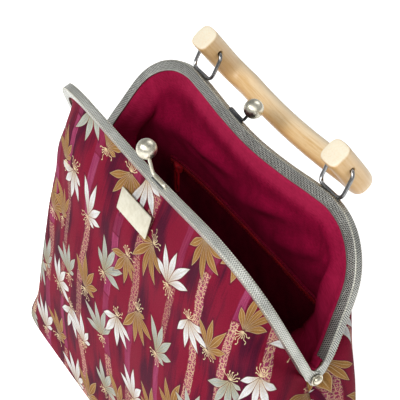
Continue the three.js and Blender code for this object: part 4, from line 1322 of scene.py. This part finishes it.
def handlePath():
    drop = np.array([0, np.cos(handle["drop"]), -np.sin(handle["drop"])])
    lift = np.array([0, np.sin(handle["drop"]), np.cos(handle["drop"])])
    centre, corner, reach, count = ring["centre"], handle["corner"], handle["reach"], handle["bendSteps"]
    flat = centre - corner

    def at(x, along):
        return np.array([x, *handle["pivot"]]) + drop * along

    path = [at(-centre, -handle["tip"])]
    path += bendPoints(at(-centre, reach - corner), at(-centre, reach), at(-flat, reach), count)
    path += bendPoints(at(-flat, reach), at(0, reach) - 2 * handle["bow"] * lift, at(flat, reach), count)[1:]
    path += bendPoints(at(flat, reach), at(centre, reach), at(centre, reach - corner), count)[1:]
    path.append(at(centre, -handle["tip"]))
    return evenly(np.array(path), handle["steps"] + 1), lift


def handleMesh():
    path, lift = handlePath()
    for _ in range(6):  # eases the bends where the curves meet
        path[3:-3] = 0.5 * path[3:-3] + 0.25 * (path[2:-4] + path[4:-2])
    tangent = unit(np.gradient(path, axis=0))
    side = unit(np.cross(lift, tangent))
    length = lengthAlong(path)
    share = length / length[-1]
    angle = ringAngles(handle["sides"])
    rings, plan, ends, uppers = [], [], [], []

    def addRing(i, shrink=0.0, slide=0.0, end=0.0):
        fromEnd = min(share[i], 1 - share[i])
        square = (handle["endPower"] - handle["power"]) * (1 - ease(fromEnd, *handle["endShare"]))
        power = handle["power"] + square
        far = (np.abs(np.cos(angle)) ** power + np.abs(np.sin(angle)) ** power) ** (-1 / power)
        girth = 1 - handle["waist"] * np.sin(np.pi * share[i]) ** 2
        across = (handle["across"] * girth - shrink) * far * np.cos(angle)
        through = (handle["through"] * girth - shrink) * far * np.sin(angle)
        rings.append(path[i] + tangent[i] * slide + across[:, None] * side[i] + through[:, None] * lift)
        plan.append(np.stack([np.full_like(angle, length[i] + slide), angle * handle["girth"]], -1))
        ends.append(np.full_like(angle, end))
        uppers.append(np.sin(angle))  # 1 on the side turned up and back

    last, cut = handle["steps"], handle["chamfer"]
    endRings = [(4 * cut, 0.0, 1), (cut, 0.0, 1), (0.35 * cut, 0.3 * cut, 0.4), (0.0, cut, 0)]
    for shrink, slide, end in endRings:
        addRing(0, shrink, slide, end)
    for i in range(2, last - 1):
        addRing(i)
    for shrink, slide, end in endRings[::-1]:
        addRing(last, shrink, -slide, end)
    layers = dict(end=np.concatenate(ends), upper=np.concatenate(uppers))
    faces = tubeFaces(len(rings), handle["sides"])
    return makePiece("woodHandle", np.concatenate(rings), faces, beechMat, np.concatenate(plan) * mm,
                     layers=layers)


def drill(piece, centre):
    half = handle["holeHalf"]
    points, faces = lathe([(handle["hole"], -half), (handle["hole"], half)], handle["holeSides"])
    cutter = makePiece("handleBore", points + np.array([centre, *handle["pivot"]]), faces, boreMat)
    modifier = piece.modifiers.new("bore", "BOOLEAN")
    modifier.object = cutter
    modifier.operation = "DIFFERENCE"
    modifier.solver = "EXACT"
    mesh = bakedMesh(piece)
    piece.modifiers.remove(modifier)
    piece.data = mesh
    bpy.data.objects.remove(cutter)


def buildHandle():
    piece = handleMesh()
    for sign in (-1, 1):
        drill(piece, sign * ring["centre"])
    work = bmesh.new()
    work.from_mesh(piece.data)
    shadeSmooth(work, handle["sharp"])
    work.to_mesh(piece.data)
    work.free()
    finishPiece(piece, "handle", "beech_wood", "handle")


buildRings()
buildHandle()
print("rings and handle built")


# plate

plate = dict(cornerEdge=1.2, corner=1.0, cornerSteps=5, bevel=0.35, bevelSteps=3, fold=0.9, sharp=25)


def bevelEdges(work, chosen, size, steps):
    bmesh.ops.bevel(work, geom=chosen, offset=size * mm, segments=steps, profile=0.5, affect="EDGES")


def buildPlate():
    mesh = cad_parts["label_plate"].data.copy()
    mesh.materials.clear()
    mesh.materials.append(plateMat)
    work = bmesh.new()
    work.from_mesh(mesh)
    bmesh.ops.remove_doubles(work, verts=work.verts, dist=1e-6)
    bmesh.ops.dissolve_limit(work, angle_limit=0.02, verts=work.verts, edges=work.edges)
    upright = [e for e in work.edges if e.calc_length() < plate["cornerEdge"] * mm]
    bevelEdges(work, upright, plate["corner"], plate["cornerSteps"])
    folded = [e for e in work.edges if e.calc_face_angle(0) > plate["fold"]]
    bevelEdges(work, folded, plate["bevel"], plate["bevelSteps"])
    shadeSmooth(work, plate["sharp"])
    work.to_mesh(mesh)
    work.free()
    finishPiece(placeObject("barePlate", mesh), "bag", "pale_brass", "label_plate")


buildPlate()
print("plate rounded")


# zip in the back lining

zipper = dict(left=-90.5, right=95.0, height=143.5, halfWidth=4.0, thickness=0.8, gap=0.3, steps=140, rows=7,
              hollow=0.4, teethStand=0.25, stitchStand=0.05, stitchRows=(1, 5), seamColumns=30,
              teeth=dict(spacing=1.5, beadLength=0.9, beadWidth=1.0, beadHeight=2.6),
              stitches=dict(spacing=2.6, beadLength=1.9, beadWidth=0.45, beadHeight=0.45))
pull = dict(seat=-80.8, stand=0.9, slider=(8.0, 3.0, 5.0), sliderRound=0.9, bridge=(2.4, 1.6, 4.6),
            bridgePlace=(1.2, 0.4), bridgeRound=0.6, tab=(5.0, 1.2, 20.0), tabTop=1.5, tabStand=1.1,
            tabRim=1.15, tabSteps=13, roundSteps=4, sharp=40)


def liningFace(x, z):  # where the back lining's inner face lies
    skip = zipper["seamColumns"]
    grid = liningInner["back"][:, skip:-skip]
    low = grid[..., 2].mean(1)
    row = int(np.argmax(low < z))
    span = (low[row - 1] - z) / (low[row - 1] - low[row])
    near = [np.interp(x, grid[r, :, 0], grid[r, :, 1]) for r in (row - 1, row)]
    return near[0] * (1 - span) + near[1] * span


def buildZip():  # gives back where the slider sits
    x = np.linspace(zipper["left"], zipper["right"], zipper["steps"])
    heights = zipper["height"] + np.linspace(zipper["halfWidth"], -zipper["halfWidth"], zipper["rows"])
    y = np.array([liningFace(x, z) for z in heights])
    y = np.minimum(y, y.mean(0) + zipper["hollow"]) - zipper["gap"]
    outer = np.stack(np.broadcast_arrays(x[None], y, heights[:, None]), -1)
    inner = outer - np.array([0, zipper["thickness"], 0])
    tape = shellPiece("zipTape", outer, inner, flatPlan(x[None], heights[:, None]), liningMat)
    finishPiece(tape, "bag", "lining_cloth", "zip_tape")
    middle = inner[zipper["rows"] // 2]
    line = middle - np.array([0, zipper["teethStand"], 0])
    finishPiece(makeBeads("zipTeeth", [line], zipMat, zipper["teeth"]), "bag", "lining_cloth")
    lines = [inner[row] - np.array([0, zipper["stitchStand"], 0]) for row in zipper["stitchRows"]]
    finishPiece(makeBeads("zipStitches", lines, zipMat, zipper["stitches"]), "bag", "lining_cloth")
    return np.interp(pull["seat"], x, middle[:, 1])


def roundedBlock(work, size, centre, bevel):
    shape = Matrix.Translation(Vector(centre) * mm) @ Matrix.Diagonal((*(s * mm for s in size), 1))
    made = bmesh.ops.create_cube(work, size=1.0, matrix=shape)
    sharpEdges = list(dict.fromkeys(e for v in made["verts"] for e in v.link_edges))
    bevelEdges(work, sharpEdges, bevel, pull["roundSteps"])


def tabLoop(inset):  # the tab's outline, or its hole's
    width, _, length = pull["tab"]
    half = width / 2 - inset
    top, low = zipper["height"] - pull["tabTop"] - inset, zipper["height"] - length + inset
    turns = np.radians(np.linspace(0, 180, pull["tabSteps"]))
    upper = [(half * np.cos(t), top - half + half * np.sin(t)) for t in turns]
    return upper + [(half * np.cos(t + np.pi), low + half + half * np.sin(t + np.pi)) for t in turns]


def addTab(work, y):
    front, back = y - pull["tab"][1] / 2, y + pull["tab"][1] / 2
    rim, hole = tabLoop(0.0), tabLoop(pull["tabRim"])
    layers = []
    for loop, place in ((rim, front), (hole, front), (hole, back), (rim, back)):
        layers.append([work.verts.new(((pull["seat"] + x) * mm, place * mm, z * mm)) for x, z in loop])
    for here, there in zip(layers, layers[1:] + layers[:1]):
        for j in range(len(rim)):
            k = (j + 1) % len(rim)
            work.faces.new([here[j], here[k], there[k], there[j]])


def buildPull(back):
    work = bmesh.new()
    y = back - pull["stand"] - pull["slider"][1] / 2
    out, down = pull["bridgePlace"]
    roundedBlock(work, pull["slider"], (pull["seat"], y, zipper["height"]), pull["sliderRound"])
    roundedBlock(work, pull["bridge"], (pull["seat"], y - out, zipper["height"] - down), pull["bridgeRound"])
    addTab(work, y - pull["tabStand"])
    bmesh.ops.recalc_face_normals(work, faces=work.faces)
    shadeSmooth(work, pull["sharp"])
    mesh = bpy.data.meshes.new("zipPull")
    work.to_mesh(mesh)
    work.free()
    mesh.materials.append(pullMat)
    finishPiece(placeObject("zipPull", mesh), "bag", "pull_paint", "zip_pull")


buildPull(buildZip())
print("zip built")
